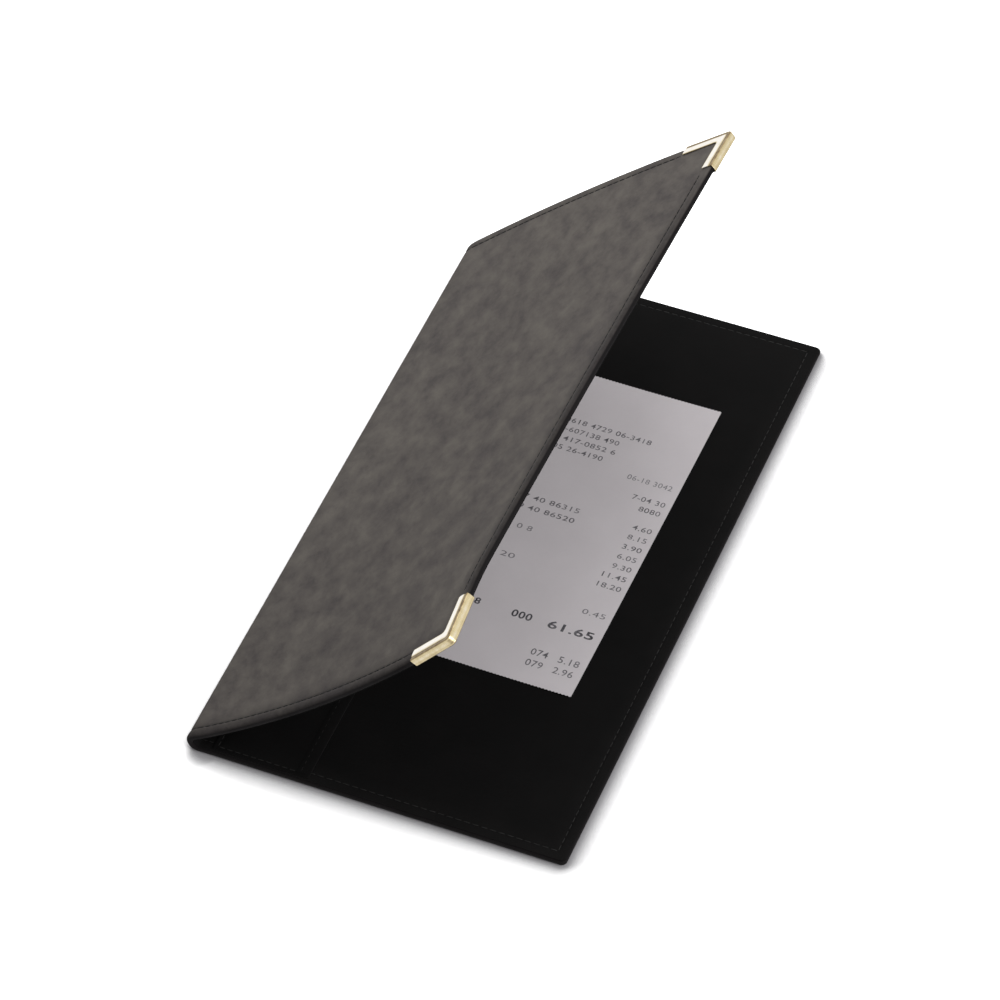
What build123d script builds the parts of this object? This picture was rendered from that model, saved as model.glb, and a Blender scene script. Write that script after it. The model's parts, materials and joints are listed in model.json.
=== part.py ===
from build123d import *
import os
from math import asin, cos, radians, sin

os.makedirs("parts", exist_ok=True)

# Guest check presenter: a two-cover folder that lies on its back cover with the front cover
# standing part open, and holds a printed check in a side pocket.
# Frame: +X from the spine to the free edge, +Y along the spine, +Z up.
# The origin is the middle of the back cover's resting face. Millimetres and degrees.

# Covers
COVER_WIDTH = 132.0  # outside of the spine to the free edge, closed
COVER_HEIGHT = 250.0  # along the spine
SKIN = 0.7  # outer leatherette
BOARD = 0.8  # stiffening board
TURN_IN = 0.5  # thinned leatherette turned over the board's edges
TURN_IN_WIDTH = 11.0
LINING = 0.4  # sheet that faces the inside
LINING_INSET = 0.6  # lining's edge stays this far inside the cover's outline
EDGE_RADIUS = 1.0  # leatherette's roll over the board's edge
BACK_CORNER_RADIUS = 2.0  # back cover's free corners, in plan
FRONT_CORNER_RADIUS = 1.2  # front cover's free corners, inside the metal corners

# Spine: a soft strip that bends along a fold line at each cover
COVER_GAP = 2.2  # room between the closed covers' linings
FOLD_SLIT = 0.1  # between a cover's skin and the strip's rounded edge
BOARD_SETBACK = 1.1  # boards and linings stop this far short of their fold line
SPINE_LINING_SETBACK = 0.6  # spine's lining stops this far short of both fold lines
SPINE_CROWN = 0.35  # strip's crown, outwards

# Front cover as it stands: opened by hand, and warped a little by use
ANGLE_NEAR = 44.1  # its near edge's chord above the back cover
ANGLE_FAR = 42.6
BOW_NEAR = -5.0  # bow's height on the chord, outwards positive
BOW_FAR = 1.6

# Sewn seam round both covers
SEAM_INSET = 4.0
SEAM_WIDTH = 0.6
SEAM_DEPTH = 0.25

# Folded metal corners
CORNER_LEG = 22.5
CORNER_FLANGE = 3.7
CORNER_SHEET = 0.35
CORNER_BEND_RADIUS = 0.55  # outside of the bends over the cover's edge
CORNER_THROAT_RADIUS = 1.5  # inside of the L
CORNER_FIT = 0.08  # play that takes up the cover's bow inside the flat metal

# Pockets
POCKET_SHEET = 0.4
POCKET_ROOM = 0.3  # between a pocket's sheet and its lining
POCKET_MARGIN = 3.0  # sewn down along the closed sides
CHECK_POCKET_REACH = 40.0  # its open edge from the fold line
CARD_POCKET_HEIGHT = 76.0
CARD_POCKET_SPINE_GAP = 8.0
CARD_POCKET_CORNER_GAP = 1.3  # to the metal corner's flanges
THUMB_NOTCH_RADIUS = 13.0
THUMB_NOTCH_RISE = 6.0  # notch's centre beyond the pocket's mouth

# Guest check: a slip of till paper
CHECK_WIDTH = 80.0
CHECK_LENGTH = 141.0
CHECK_PAPER = 0.1
CHECK_FROM_SPINE = 29.0
CHECK_FROM_NEAR_END = 66.0
CHECK_REST_GAP = 0.05  # paper over the lining

# Worked out from the sizes above
COVER_THICKNESS = SKIN + BOARD + TURN_IN + LINING
FOLD_SPACING = 2 * COVER_THICKNESS + COVER_GAP - SKIN
COVER_REACH = COVER_WIDTH - SKIN / 2
REST_TILT = (ANGLE_NEAR + ANGLE_FAR) / 4
OUTER_FACE = SKIN / 2
SKIN_BACK = -SKIN / 2
BOARD_BACK = SKIN_BACK - BOARD
TURN_IN_FACE = BOARD_BACK - TURN_IN
INNER_FACE = TURN_IN_FACE - LINING
LOFT_MARGIN = 3.0  # warped solids run this far past both ends before they are trimmed


class Panel:
    """A cover or the spine. t runs from its fold line, n outwards from its skin's middle, y as +Y."""

    def __init__(self, fold_line, reach, outward, angles, bows, corner_radius):
        self.fold_line = Vector(*fold_line)
        self.reach = reach
        self.outward = outward
        self.angles = angles
        self.bows = bows
        self.corner_radius = corner_radius

    def directions(self, y):
        """Unit vectors along the chord and outwards from it, at y."""
        angle = radians(self.at(self.angles, y))
        along = Vector(cos(angle), 0, sin(angle))
        outwards = Vector(-sin(angle), 0, cos(angle)) * self.outward
        return along, outwards

    @staticmethod
    def at(pair, y):
        near, far = pair
        return near + (far - near) * y / COVER_HEIGHT

    def point(self, t, n, y):
        along, outwards = self.directions(y)
        bow = self.at(self.bows, y)
        if bow == 0:
            place = self.fold_line + along * t + outwards * n
        else:
            radius = (self.reach**2 / 4 + bow**2) / (2 * bow)
            turn = asin(self.reach / (2 * radius)) * (2 * t / self.reach - 1)
            centre = self.fold_line + along * (self.reach / 2) + outwards * (bow - radius)
            place = centre + (along * sin(turn) + outwards * cos(turn)) * (radius + n)
        return Vector(place.X, y, place.Z)

    def section(self, t_span, n_span, y):
        """Face between two lengths and two depths, across the panel at y."""
        t_low, t_high = t_span
        rims = []
        for n in n_span:
            ends = self.point(t_low, n, y), self.point(t_high, n, y)
            if self.at(self.bows, y) == 0:
                rims.append(Line(*ends))
            else:
                rims.append(ThreePointArc(ends[0], self.point((t_low + t_high) / 2, n, y), ends[1]))
        sides = [Line(rims[0] @ end, rims[1] @ end) for end in (0, 1)]
        return Face(Wire([*rims, *sides]))

    def slab(self, t_span, n_span, y_span):
        """Solid that follows the panel's bow between two lengths, depths and places along the spine."""
        y_low, y_high = y_span
        if self.angles[0] == self.angles[1] and self.bows[0] == self.bows[1]:
            return extrude(self.section(t_span, n_span, y_low), y_high - y_low, dir=(0, 1, 0))
        ends = [self.section(t_span, n_span, y) for y in (-LOFT_MARGIN, COVER_HEIGHT + LOFT_MARGIN)]
        whole = loft(ends, ruled=True)
        room = 2 * COVER_HEIGHT
        keep = Pos(0, (y_low + y_high) / 2, 0) * Box(room, y_high - y_low, room)
        return whole & keep

    def plate(self, t_low, inset, n_span):
        """Slab as large as the cover less an inset on its three free sides, with rounded corners."""
        t_high = self.reach - inset
        y_span = inset, COVER_HEIGHT - inset
        plate = self.slab((t_low, t_high), n_span, y_span)
        radius = self.corner_radius - inset
        if radius <= 0:
            return plate
        middle = sum(n_span) / 2
        uprights = [edge_near(plate, self.point(t_high, middle, y)) for y in y_span]
        return fillet(uprights, radius)


def edge_near(solid, point):
    return min(solid.edges(), key=lambda edge: edge.distance_to(Vertex(*point)))


lower_fold = (-COVER_WIDTH / 2 + SKIN / 2, 0, SKIN / 2)
back = Panel(lower_fold, COVER_REACH, -1, (0, 0), (0, 0), BACK_CORNER_RADIUS)
spine = Panel(lower_fold, FOLD_SPACING, 1, (90 + REST_TILT,) * 2, (SPINE_CROWN,) * 2, 0)
upper_fold = tuple(spine.point(FOLD_SPACING, 0, 0))
front = Panel(
    upper_fold, COVER_REACH, 1, (ANGLE_NEAR, ANGLE_FAR), (BOW_NEAR, BOW_FAR), FRONT_CORNER_RADIUS
)


def seam_channels(panel, t_low):
    """Cutters for the sewn seam's channel along the near, far and free sides."""
    depth = OUTER_FACE - SEAM_DEPTH, OUTER_FACE + SKIN
    inner, outer = SEAM_INSET - SEAM_WIDTH / 2, SEAM_INSET + SEAM_WIDTH / 2
    t_high = panel.reach - inner
    near = panel.slab((t_low, t_high), depth, (inner, outer))
    far = panel.slab((t_low, t_high), depth, (COVER_HEIGHT - outer, COVER_HEIGHT - inner))
    free = panel.slab((panel.reach - outer, t_high), depth, (inner, COVER_HEIGHT - inner))
    return [near, far, free]


def cover_skin(panel):
    """Leatherette: outer face, rolled edges, turn-ins, and a flange that reaches the fold line."""
    shell = panel.plate(BOARD_SETBACK, 0, (TURN_IN_FACE, OUTER_FACE))
    t_middle = panel.reach / 2
    y_middle = COVER_HEIGHT / 2
    radius = panel.corner_radius
    corner_t = panel.reach - radius * (1 - cos(radians(45)))
    corner_y = radius * (1 - sin(radians(45)))
    rolled = [
        panel.point(t_middle, OUTER_FACE, 0),
        panel.point(t_middle, OUTER_FACE, COVER_HEIGHT),
        panel.point(panel.reach, OUTER_FACE, y_middle),
        panel.point(corner_t, OUTER_FACE, corner_y),
        panel.point(corner_t, OUTER_FACE, COVER_HEIGHT - corner_y),
    ]
    shell = fillet([edge_near(shell, point) for point in rolled], EDGE_RADIUS)
    flange_start = SKIN / 2 + FOLD_SLIT
    flange_overlap = BOARD_SETBACK + SKIN
    ends = EDGE_RADIUS / 2
    flange = panel.slab(
        (flange_start, flange_overlap), (SKIN_BACK, OUTER_FACE), (ends, COVER_HEIGHT - ends)
    )
    shell = shell + flange
    board_room = panel.plate(BOARD_SETBACK - SKIN, SKIN, (BOARD_BACK, SKIN_BACK))
    window = panel.plate(BOARD_SETBACK - SKIN, TURN_IN_WIDTH, (TURN_IN_FACE - SKIN, BOARD_BACK))
    for cutter in (board_room, window, *seam_channels(panel, 0)):
        shell = shell - cutter
    return shell


def cover_board(panel):
    return panel.plate(BOARD_SETBACK, SKIN, (BOARD_BACK, SKIN_BACK))


def cover_lining(panel):
    """Lining sheet, with the backing that fills the window between the turn-ins."""
    sheet = panel.plate(BOARD_SETBACK, LINING_INSET, (INNER_FACE, TURN_IN_FACE))
    backing = panel.plate(BOARD_SETBACK, TURN_IN_WIDTH, (TURN_IN_FACE, BOARD_BACK))
    return sheet + backing


def spine_skin():
    """Leatherette strip between the fold lines, with round edges centred on them."""
    strip = spine.slab((0, FOLD_SPACING), (SKIN_BACK, OUTER_FACE), (0, COVER_HEIGHT))
    for fold in (lower_fold, upper_fold):
        turned = Rot(90, 0, 0) * Cylinder(SKIN / 2, COVER_HEIGHT)
        strip = strip + Pos(fold[0], COVER_HEIGHT / 2, fold[2]) * turned
    depth = OUTER_FACE - SEAM_DEPTH, OUTER_FACE + SKIN
    for middle in (SEAM_INSET, COVER_HEIGHT - SEAM_INSET):
        y_span = middle - SEAM_WIDTH / 2, middle + SEAM_WIDTH / 2
        strip = strip - spine.slab((SKIN, FOLD_SPACING - SKIN), depth, y_span)
    return strip


def spine_lining():
    t_span = SPINE_LINING_SETBACK, FOLD_SPACING - SPINE_LINING_SETBACK
    y_span = LINING_INSET, COVER_HEIGHT - LINING_INSET
    return spine.slab(t_span, (SKIN_BACK - LINING, SKIN_BACK), y_span)


def box_between(x_span, y_span, z_span):
    spans = x_span, y_span, z_span
    centre = [sum(span) / 2 for span in spans]
    return Pos(*centre) * Box(*[high - low for low, high in spans])


def corner_channel():
    """Flat metal folded over a cover's corner, L-shaped on both faces.

    The cover's corner is at the origin, its free edge runs along +Y and its end edge along -X.
    """
    wall = CORNER_SHEET + CORNER_FIT
    leg_middle = CORNER_LEG / 2
    outside = INNER_FACE - wall, OUTER_FACE + wall
    block = box_between((-CORNER_LEG, wall), (-wall, CORNER_LEG), outside)
    corner_radius = FRONT_CORNER_RADIUS + CORNER_SHEET
    block = fillet(edge_near(block, Vector(wall, -wall, 0)), corner_radius)
    short = corner_radius * (1 - cos(radians(45)))
    bends = []
    for z in outside:
        bends.append(Vector(-leg_middle, -wall, z))
        bends.append(Vector(wall, leg_middle, z))
        bends.append(Vector(wall - short, short - wall, z))
    block = fillet([edge_near(block, point) for point in bends], CORNER_BEND_RADIUS)

    beyond = 2 * CORNER_LEG
    inside = INNER_FACE - CORNER_FIT, OUTER_FACE + CORNER_FIT
    cover_room = box_between((-beyond, CORNER_FIT), (-CORNER_FIT, beyond), inside)
    cover_corner = Vector(CORNER_FIT, -CORNER_FIT, 0)
    cover_room = fillet(edge_near(cover_room, cover_corner), FRONT_CORNER_RADIUS)

    through = INNER_FACE - 2 * wall, OUTER_FACE + 2 * wall
    window = box_between((-beyond, -CORNER_FLANGE), (CORNER_FLANGE, beyond), through)
    throat = Vector(-CORNER_FLANGE, CORNER_FLANGE, 0)
    window = fillet(edge_near(window, throat), CORNER_THROAT_RADIUS)
    return block - cover_room - window


def metal_corner(y_edge, inwards):
    """The channel on the front cover's corner at y_edge. inwards is the sign of y towards the cover."""
    reach = front.reach
    tip = front.point(reach, 0, y_edge)
    leg_end = front.point(reach - CORNER_LEG, 0, y_edge)
    leg_middle = front.point(reach - CORNER_LEG / 2, 0, y_edge)
    half_bow = (leg_middle - (tip + leg_end) * 0.5) * 0.5
    end_edge = tip - leg_end
    free_edge = (front.point(reach, 0, y_edge + inwards * CORNER_LEG) - tip) * inwards
    seat = Plane(origin=tip + half_bow, x_dir=end_edge, z_dir=end_edge.cross(free_edge))
    channel = corner_channel()
    if inwards < 0:
        channel = mirror(channel, about=Plane.XZ)
    return seat * channel


def pocket(panel, t_span, y_span, open_side):
    """Sheet held off the lining, sewn down along every side but the open one: "free" or "far"."""
    t_low, t_high = t_span
    y_low, y_high = y_span
    lifted = INNER_FACE - POCKET_ROOM
    sheet = panel.slab(t_span, (lifted - POCKET_SHEET, lifted), y_span)
    sewn = (lifted, INNER_FACE)
    margins = [
        panel.slab((t_low, t_low + POCKET_MARGIN), sewn, y_span),
        panel.slab(t_span, sewn, (y_low, y_low + POCKET_MARGIN)),
    ]
    if open_side == "free":
        margins.append(panel.slab(t_span, sewn, (y_high - POCKET_MARGIN, y_high)))
    else:
        margins.append(panel.slab((t_high - POCKET_MARGIN, t_high), sewn, y_span))
    for margin in margins:
        sheet = sheet + margin
    return sheet


def check_pocket():
    """Full-length side pocket along the spine, open towards the free edge."""
    t_span = BOARD_SETBACK + LINING_INSET, CHECK_POCKET_REACH
    ends = 2 * LINING_INSET
    return pocket(back, t_span, (ends, COVER_HEIGHT - ends), "free")


def card_pocket():
    """Low pocket across the front cover's near end, open towards the far end, with a thumb notch."""
    clear = CORNER_FLANGE + CORNER_FIT + CARD_POCKET_CORNER_GAP
    t_span = CARD_POCKET_SPINE_GAP, front.reach - clear
    mouth = clear + CARD_POCKET_HEIGHT
    sheet = pocket(front, t_span, (clear, mouth), "far")
    _, outwards = front.directions(mouth)
    centre = front.point(sum(t_span) / 2, INNER_FACE, mouth + THUMB_NOTCH_RISE)
    drill = Plane(centre, z_dir=outwards) * Cylinder(THUMB_NOTCH_RADIUS, 6 * COVER_THICKNESS)
    return sheet - drill


def guest_check():
    """Printed slip on the lining, its left margin tucked into the side pocket."""
    low_face = INNER_FACE - CHECK_REST_GAP
    t_low = CHECK_FROM_SPINE - SKIN / 2
    return back.slab(
        (t_low, t_low + CHECK_WIDTH),
        (low_face - CHECK_PAPER, low_face),
        (CHECK_FROM_NEAR_END, CHECK_FROM_NEAR_END + CHECK_LENGTH),
    )


pieces = {
    "back_skin": cover_skin(back),
    "back_board": cover_board(back),
    "back_lining": cover_lining(back),
    "check_pocket": check_pocket(),
    "spine_skin": spine_skin(),
    "spine_lining": spine_lining(),
    "front_skin": cover_skin(front),
    "front_board": cover_board(front),
    "front_lining": cover_lining(front),
    "card_pocket": card_pocket(),
    "corner_near": metal_corner(0, 1),
    "corner_far": metal_corner(COVER_HEIGHT, -1),
    "guest_check": guest_check(),
}

to_row_frame = Pos(0, -COVER_HEIGHT / 2, 0)
for name, piece in pieces.items():
    export_step(to_row_frame * piece, f"parts/{name}.step")
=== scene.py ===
"""Dresses the guest check presenter: leatherette, lining, seams, gilt corners and a printed check.

Lengths are metres in the part's own frame: +X from the spine to the free edge, +Y along the
spine, +Z up, with the origin in the middle of the back cover's resting face.
"""

import json
import logging
from collections.abc import Callable, Iterable, Sequence
from dataclasses import dataclass
from enum import Enum
from functools import partial
from math import asin, atan2, ceil, cos, degrees, exp, floor, inf, pi, radians, sin, sqrt, tau
from typing import Any

import bmesh
import bpy
from mathutils import Matrix, Vector, noise

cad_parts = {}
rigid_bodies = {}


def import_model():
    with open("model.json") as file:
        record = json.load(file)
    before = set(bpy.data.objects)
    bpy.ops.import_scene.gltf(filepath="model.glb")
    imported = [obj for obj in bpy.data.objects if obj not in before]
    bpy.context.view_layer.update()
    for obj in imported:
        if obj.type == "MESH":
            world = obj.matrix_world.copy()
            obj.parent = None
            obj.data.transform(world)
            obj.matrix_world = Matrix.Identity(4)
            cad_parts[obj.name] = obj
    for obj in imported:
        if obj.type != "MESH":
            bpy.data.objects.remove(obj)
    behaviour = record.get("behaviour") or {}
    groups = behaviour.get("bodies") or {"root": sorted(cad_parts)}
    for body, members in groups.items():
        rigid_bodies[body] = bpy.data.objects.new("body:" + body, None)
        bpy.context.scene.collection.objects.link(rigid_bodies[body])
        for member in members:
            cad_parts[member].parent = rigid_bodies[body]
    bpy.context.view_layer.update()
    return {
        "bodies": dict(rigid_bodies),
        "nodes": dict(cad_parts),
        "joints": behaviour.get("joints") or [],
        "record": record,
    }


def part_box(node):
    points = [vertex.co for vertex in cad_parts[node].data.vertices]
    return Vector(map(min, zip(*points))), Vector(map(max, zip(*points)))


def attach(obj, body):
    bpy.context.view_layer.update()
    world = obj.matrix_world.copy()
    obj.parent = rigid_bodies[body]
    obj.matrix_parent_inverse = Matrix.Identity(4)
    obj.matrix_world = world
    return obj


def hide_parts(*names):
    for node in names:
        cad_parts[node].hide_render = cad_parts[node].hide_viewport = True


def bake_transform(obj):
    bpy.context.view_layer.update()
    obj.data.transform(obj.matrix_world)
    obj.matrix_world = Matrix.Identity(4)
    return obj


LOG = logging.getLogger("check_presenter")
MM = 0.001
HAIR = 0.01 * MM  # step that measures a direction on a surface
SMOOTH_ANGLE = 38.0  # edges sharper than this stay sharp
RIM_WEAR_AND_SHADE_REACH = 8.0 * MM  # how far onto a sheet the painted shade and wear of its rim is felt
RIPPLE_FADE = 8.0 * MM  # how far inside its outline a sheet's ripple is full
RIPPLES = ((28.0, 0.05 * MM, 3.7), (90.0, 0.015 * MM, 9.1))  # cells per metre, depth and layer
ROLL_TURNS = tuple(range(0, 91, 15))  # degrees round a rolled edge or a bend in metal
BACK_TURNS = (30, 60)  # degrees round the smaller roll of a hidden edge
GRAIN = "grain"  # mesh attribute: place along the wrap, along the spine, and depth
WEAR_AND_SHADE = "wear"  # mesh attribute, 0 to 1: painted shade on leatherette rims and metal bends and edges, tarnish, wear, and how faded the print is

Rows = Sequence[Sequence[int]]
Colour = tuple[float, float, float, float]
Station = tuple[Vector, Vector, Vector]
Object = bpy.types.Object


# ---- numbers


def mix(pair: tuple[float, float], share: float) -> float:
    """Value between the pair's two, at a share of the way."""
    return pair[0] + (pair[1] - pair[0]) * share


def ease(share: float) -> float:
    """Smooth step from 0 to 1, flat at both ends and clamped beyond them."""
    share = min(max(share, 0.0), 1.0)
    return share * share * (3 - 2 * share)


def spread(low: float, high: float, step: float) -> list[float]:
    """Evenly spaced values strictly between two, at most a step apart."""
    count = max(1, ceil(abs(high - low) / step))
    return [low + (high - low) * index / count for index in range(1, count)]


def roll_drop(radius: float, inset: float) -> float:
    """How far a rounded edge lies below its face, at an inset from the outline."""
    rounded = max(radius - inset, 0.0)
    return radius - sqrt(radius**2 - rounded**2)


def sine_cosine(degrees: float) -> tuple[float, float]:
    """Sine and cosine of an angle."""
    turn = radians(degrees)
    return sin(turn), cos(turn)


def srgb(red: int, green: int, blue: int) -> Colour:
    """Linear RGBA of an 8-bit screen colour.

    Args:
        red: From 0 to 255, like the next two.
        green: Of the screen colour.
        blue: Of the screen colour.

    Returns:
        The colour, opaque.
    """

    def linear(level: int) -> float:
        """Linear value of one channel."""
        share = level / 255
        return share / 12.92 if share <= 0.04045 else ((share + 0.055) / 1.055) ** 2.4

    return linear(red), linear(green), linear(blue), 1.0


# ---- shader graph


class Signal:
    """A node's output that takes part in arithmetic. Each operator adds one Math node."""

    def __init__(self, graph: "Graph", socket: bpy.types.NodeSocket) -> None:
        """Wraps one output socket of a graph."""
        self.graph = graph
        self.socket = socket

    def _math(self, operation: str, left: "Signal | float", right: "Signal | float") -> "Signal":
        """Math node on two values."""
        return self.graph.node("ShaderNodeMath", {"operation": operation}, {0: left, 1: right})

    def __add__(self, other: "Signal | float") -> "Signal":
        """Sum."""
        return self._math("ADD", self, other)

    __radd__ = __add__

    def __mul__(self, other: "Signal | float") -> "Signal":
        """Product."""
        return self._math("MULTIPLY", self, other)

    __rmul__ = __mul__

    def __sub__(self, other: "Signal | float") -> "Signal":
        """Difference."""
        return self._math("SUBTRACT", self, other)

    def __rsub__(self, other: float) -> "Signal":
        """Difference from a number, such as 1 - mask."""
        return self._math("SUBTRACT", other, self)


class Graph:
    """The node tree of one material or of the world."""

    def __init__(self, tree: bpy.types.NodeTree) -> None:
        """Empties the tree, so that the script adds every node."""
        self.tree = tree
        tree.nodes.clear()

    def node(
        self,
        kind: str,
        settings: dict[str, Any] | None = None,
        inputs: dict[str | int, Any] | None = None,
        output: str | int = 0,
    ) -> Signal | None:
        """Adds a node.

        Args:
            kind: The node's type name.
            settings: Its own options, set first. "stops" fills a colour ramp.
            inputs: A number, colour or Signal for each socket, by name or index.
            output: The socket to return.

        Returns:
            The chosen output, or None for a node that has none.
        """
        made = self.tree.nodes.new(kind)
        for key, value in (settings or {}).items():
            if key == "stops":
                self._fill_ramp(made.color_ramp, value)
            else:
                setattr(made, key, value)
        for key, value in (inputs or {}).items():
            if isinstance(value, Signal):
                self.tree.links.new(value.socket, made.inputs[key])
            else:
                made.inputs[key].default_value = value
        return Signal(self, made.outputs[output]) if made.outputs else None

    @staticmethod
    def _fill_ramp(ramp: bpy.types.ColorRamp, stops: Sequence[tuple[float, Any]]) -> None:
        """Gives a new ramp its stops, in order from 0 to 1.

        Args:
            ramp: Of a new node.
            stops: Place and colour of each.
        """
        while len(ramp.elements) < len(stops):
            ramp.elements.new(0.5)
        for element, (place, colour) in zip(ramp.elements, stops):
            element.position = place
            element.color = colour

    def tint(self, share: Signal | float, low: Any, high: Any) -> Signal:
        """Colour between two, through a Mix node."""
        colour_inputs = {0: share, 6: low, 7: high}
        return self.node("ShaderNodeMix", {"data_type": "RGBA"}, colour_inputs, output=2)

    def attribute(self, name: str, output: str) -> Signal:
        """A value that the mesh carries at its points."""
        return self.node("ShaderNodeAttribute", {"attribute_name": name}, output=output)

    def noise(self, place: Signal, scale: float, detail: float = 2.0, rough: float = 0.5) -> Signal:
        """Cloudy noise from 0 to 1, with a scale in cells per metre."""
        inputs = {"Vector": place, "Scale": scale, "Detail": detail, "Roughness": rough}
        return self.node("ShaderNodeTexNoise", inputs=inputs)

    def contrast(self, value: Signal, low: float, high: float) -> Signal:
        """Stretches the span from low to high to the whole of 0 to 1."""
        inputs = {"Value": value, "From Min": low, "From Max": high}
        return self.node("ShaderNodeMapRange", {"clamp": True}, inputs)

    def cloudy(
        self, place: Signal, scale: float, detail: float = 3.0, rough: float = 0.5
    ) -> Signal:
        """Noise that reaches both ends of its range."""
        return self.contrast(self.noise(place, scale, detail, rough), 0.3, 0.7)

    def turned(self, place: Signal, degrees: float, stretch: tuple[float, float]) -> Signal:
        """Turns a place about its third axis, then scales the first two.

        Args:
            place: What to turn.
            degrees: How far.
            stretch: Scale of both axes.

        Returns:
            The turned place.
        """
        inputs = {
            "Vector": place,
            "Rotation": (0.0, 0.0, radians(degrees)),
            "Scale": (stretch[0], stretch[1], 1.0),
        }
        return self.node("ShaderNodeMapping", {"vector_type": "TEXTURE"}, inputs)

    def principled(self, inputs: dict[str, Any]) -> Signal:
        """Principled shader with these inputs."""
        return self.node("ShaderNodeBsdfPrincipled", inputs=inputs)

    def bump(self, height: Signal, depth: float, strength: float) -> Signal:
        """Normal that a height from 0 to 1 over a depth in metres gives."""
        inputs = {"Strength": strength, "Distance": depth, "Height": height}
        return self.node("ShaderNodeBump", inputs=inputs)


# ---- finishes


@dataclass(frozen=True)
class Finish:
    """A surface finish, which makes its material once."""

    name: str

    def surface(self, graph: Graph) -> Signal:
        """The shader of this finish."""
        raise NotImplementedError

    def material(self) -> bpy.types.Material:
        """The material of this name, made at its first use.

        Returns:
            The material, shared by all pieces of this finish.
        """
        found = bpy.data.materials.get(self.name)
        if found:
            return found
        made = bpy.data.materials.new(self.name)
        made.use_nodes = True
        graph = Graph(made.node_tree)
        graph.node("ShaderNodeOutputMaterial", inputs={"Surface": self.surface(graph)})
        return made


@dataclass(frozen=True)
class Leatherette(Finish):
    """Brushed leatherette: blotched, slanting nap, fine pebbles, rims darkened with painted shade,
    dark sides partly painted shade.
    """

    dark: Colour = srgb(74, 69, 69)
    light: Colour = srgb(118, 113, 107)
    # Side colour: a black edge, which also paints the shade on walls that face away from the light.
    black_edge_and_shade: Colour = srgb(11, 8, 9)
    # Rim colour: painted shade on the rolled rims that face away from the light, and faint wear on
    # the outside of the spine's fold.
    shade_and_wear: Colour = srgb(40, 36, 37)
    cloud_cells: float = 30.0
    blotch_cells: float = 125.0
    nap_cells: float = 330.0
    nap_angle: float = -45.0  # degrees
    nap_stretch: tuple[float, float] = (1.5, 1.0)
    mottle_cells: float = 850.0
    pebble_cells: float = 1250.0
    side_depths: tuple[float, float] = (0.12 * MM, 0.7 * MM)
    grain_depth: float = 0.1 * MM
    roughness: tuple[float, float] = (0.68, 0.82)
    specular: float = 0.12

    def surface(self, graph: Graph) -> Signal:
        """Principled shader whose colour, roughness and bump follow the wrap of the sheet.

        Args:
            graph: The material's nodes.

        Returns:
            The shader's output.
        """
        place = graph.attribute(GRAIN, "Vector")
        slanted = graph.turned(place, self.nap_angle, self.nap_stretch)
        cloud = graph.noise(slanted, self.cloud_cells, 3.0)
        blotch = graph.noise(slanted, self.blotch_cells, 3.0, 0.55)
        nap = graph.cloudy(slanted, self.nap_cells, 3.0, 0.6)
        mottle = graph.cloudy(place, self.mottle_cells, 2.0)
        patches = graph.contrast(cloud * 0.35 + blotch * 0.65, 0.36, 0.64)
        tone = patches * 0.7 + nap * 0.2 + mottle * 0.1
        face = graph.tint(tone, self.dark, self.light)
        # Painted shade: the attribute darkens the rolled rims towards the rim colour.
        edge_tone = graph.attribute(WEAR_AND_SHADE, "Fac") * (0.7 + 0.3 * nap)
        edge_darkened = graph.tint(edge_tone, face, self.shade_and_wear)
        # Dark sides: black edge colour that also stands in for painted shade on the walls.
        depth = graph.node("ShaderNodeSeparateXYZ", inputs={0: place}, output=2) * -1.0
        side = graph.contrast(depth, *self.side_depths)
        pebble_inputs = {"Vector": place, "Scale": self.pebble_cells, "Smoothness": 0.6}
        pebble = graph.node("ShaderNodeTexVoronoi", {"feature": "SMOOTH_F1"}, pebble_inputs)
        height = pebble * 0.35 + mottle * 0.25 + nap * 0.5 + blotch * 1.5
        rough_low, rough_high = self.roughness
        return graph.principled({
            "Base Color": graph.tint(side, edge_darkened, self.black_edge_and_shade),
            "Roughness": rough_low + (rough_high - rough_low) * tone,
            "Specular IOR Level": self.specular,
            "Normal": graph.bump(height, self.grain_depth, 0.6),
        })


@dataclass(frozen=True)
class LiningSheet(Finish):
    """Matt black lining with a fine crosswise grain."""

    dark: Colour = srgb(12, 12, 12)
    light: Colour = srgb(18, 17, 17)
    edge_toned: Colour = srgb(25, 24, 24)
    thread_cells: float = 900.0
    cloud_cells: float = 60.0
    grain_depth: float = 0.05 * MM
    roughness: float = 0.8
    specular: float = 0.05

    def surface(self, graph: Graph) -> Signal:
        """Principled shader with two crossing sets of fine ribs.

        Args:
            graph: The material's nodes.

        Returns:
            The shader's output.
        """
        place = graph.attribute(GRAIN, "Vector")
        ribs = []
        for direction in ("X", "Y"):
            settings = {"wave_type": "BANDS", "bands_direction": direction}
            inputs = {"Vector": place, "Scale": self.thread_cells, "Distortion": 0.6, "Detail": 1.0}
            ribs.append(graph.node("ShaderNodeTexWave", settings, inputs, output=1))
        cloud = graph.cloudy(place, self.cloud_cells)
        weave = ribs[0] * 0.5 + ribs[1] * 0.5
        base = graph.tint(cloud * 0.6 + weave * 0.4, self.dark, self.light)
        edge_tone = graph.attribute(WEAR_AND_SHADE, "Fac") * (0.3 + 0.5 * cloud)
        return graph.principled({
            "Base Color": graph.tint(edge_tone, base, self.edge_toned),
            "Roughness": self.roughness - 0.1 * weave,
            "Specular IOR Level": self.specular,
            "Normal": graph.bump(weave + 0.5 * cloud, self.grain_depth, 0.5),
        })


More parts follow.
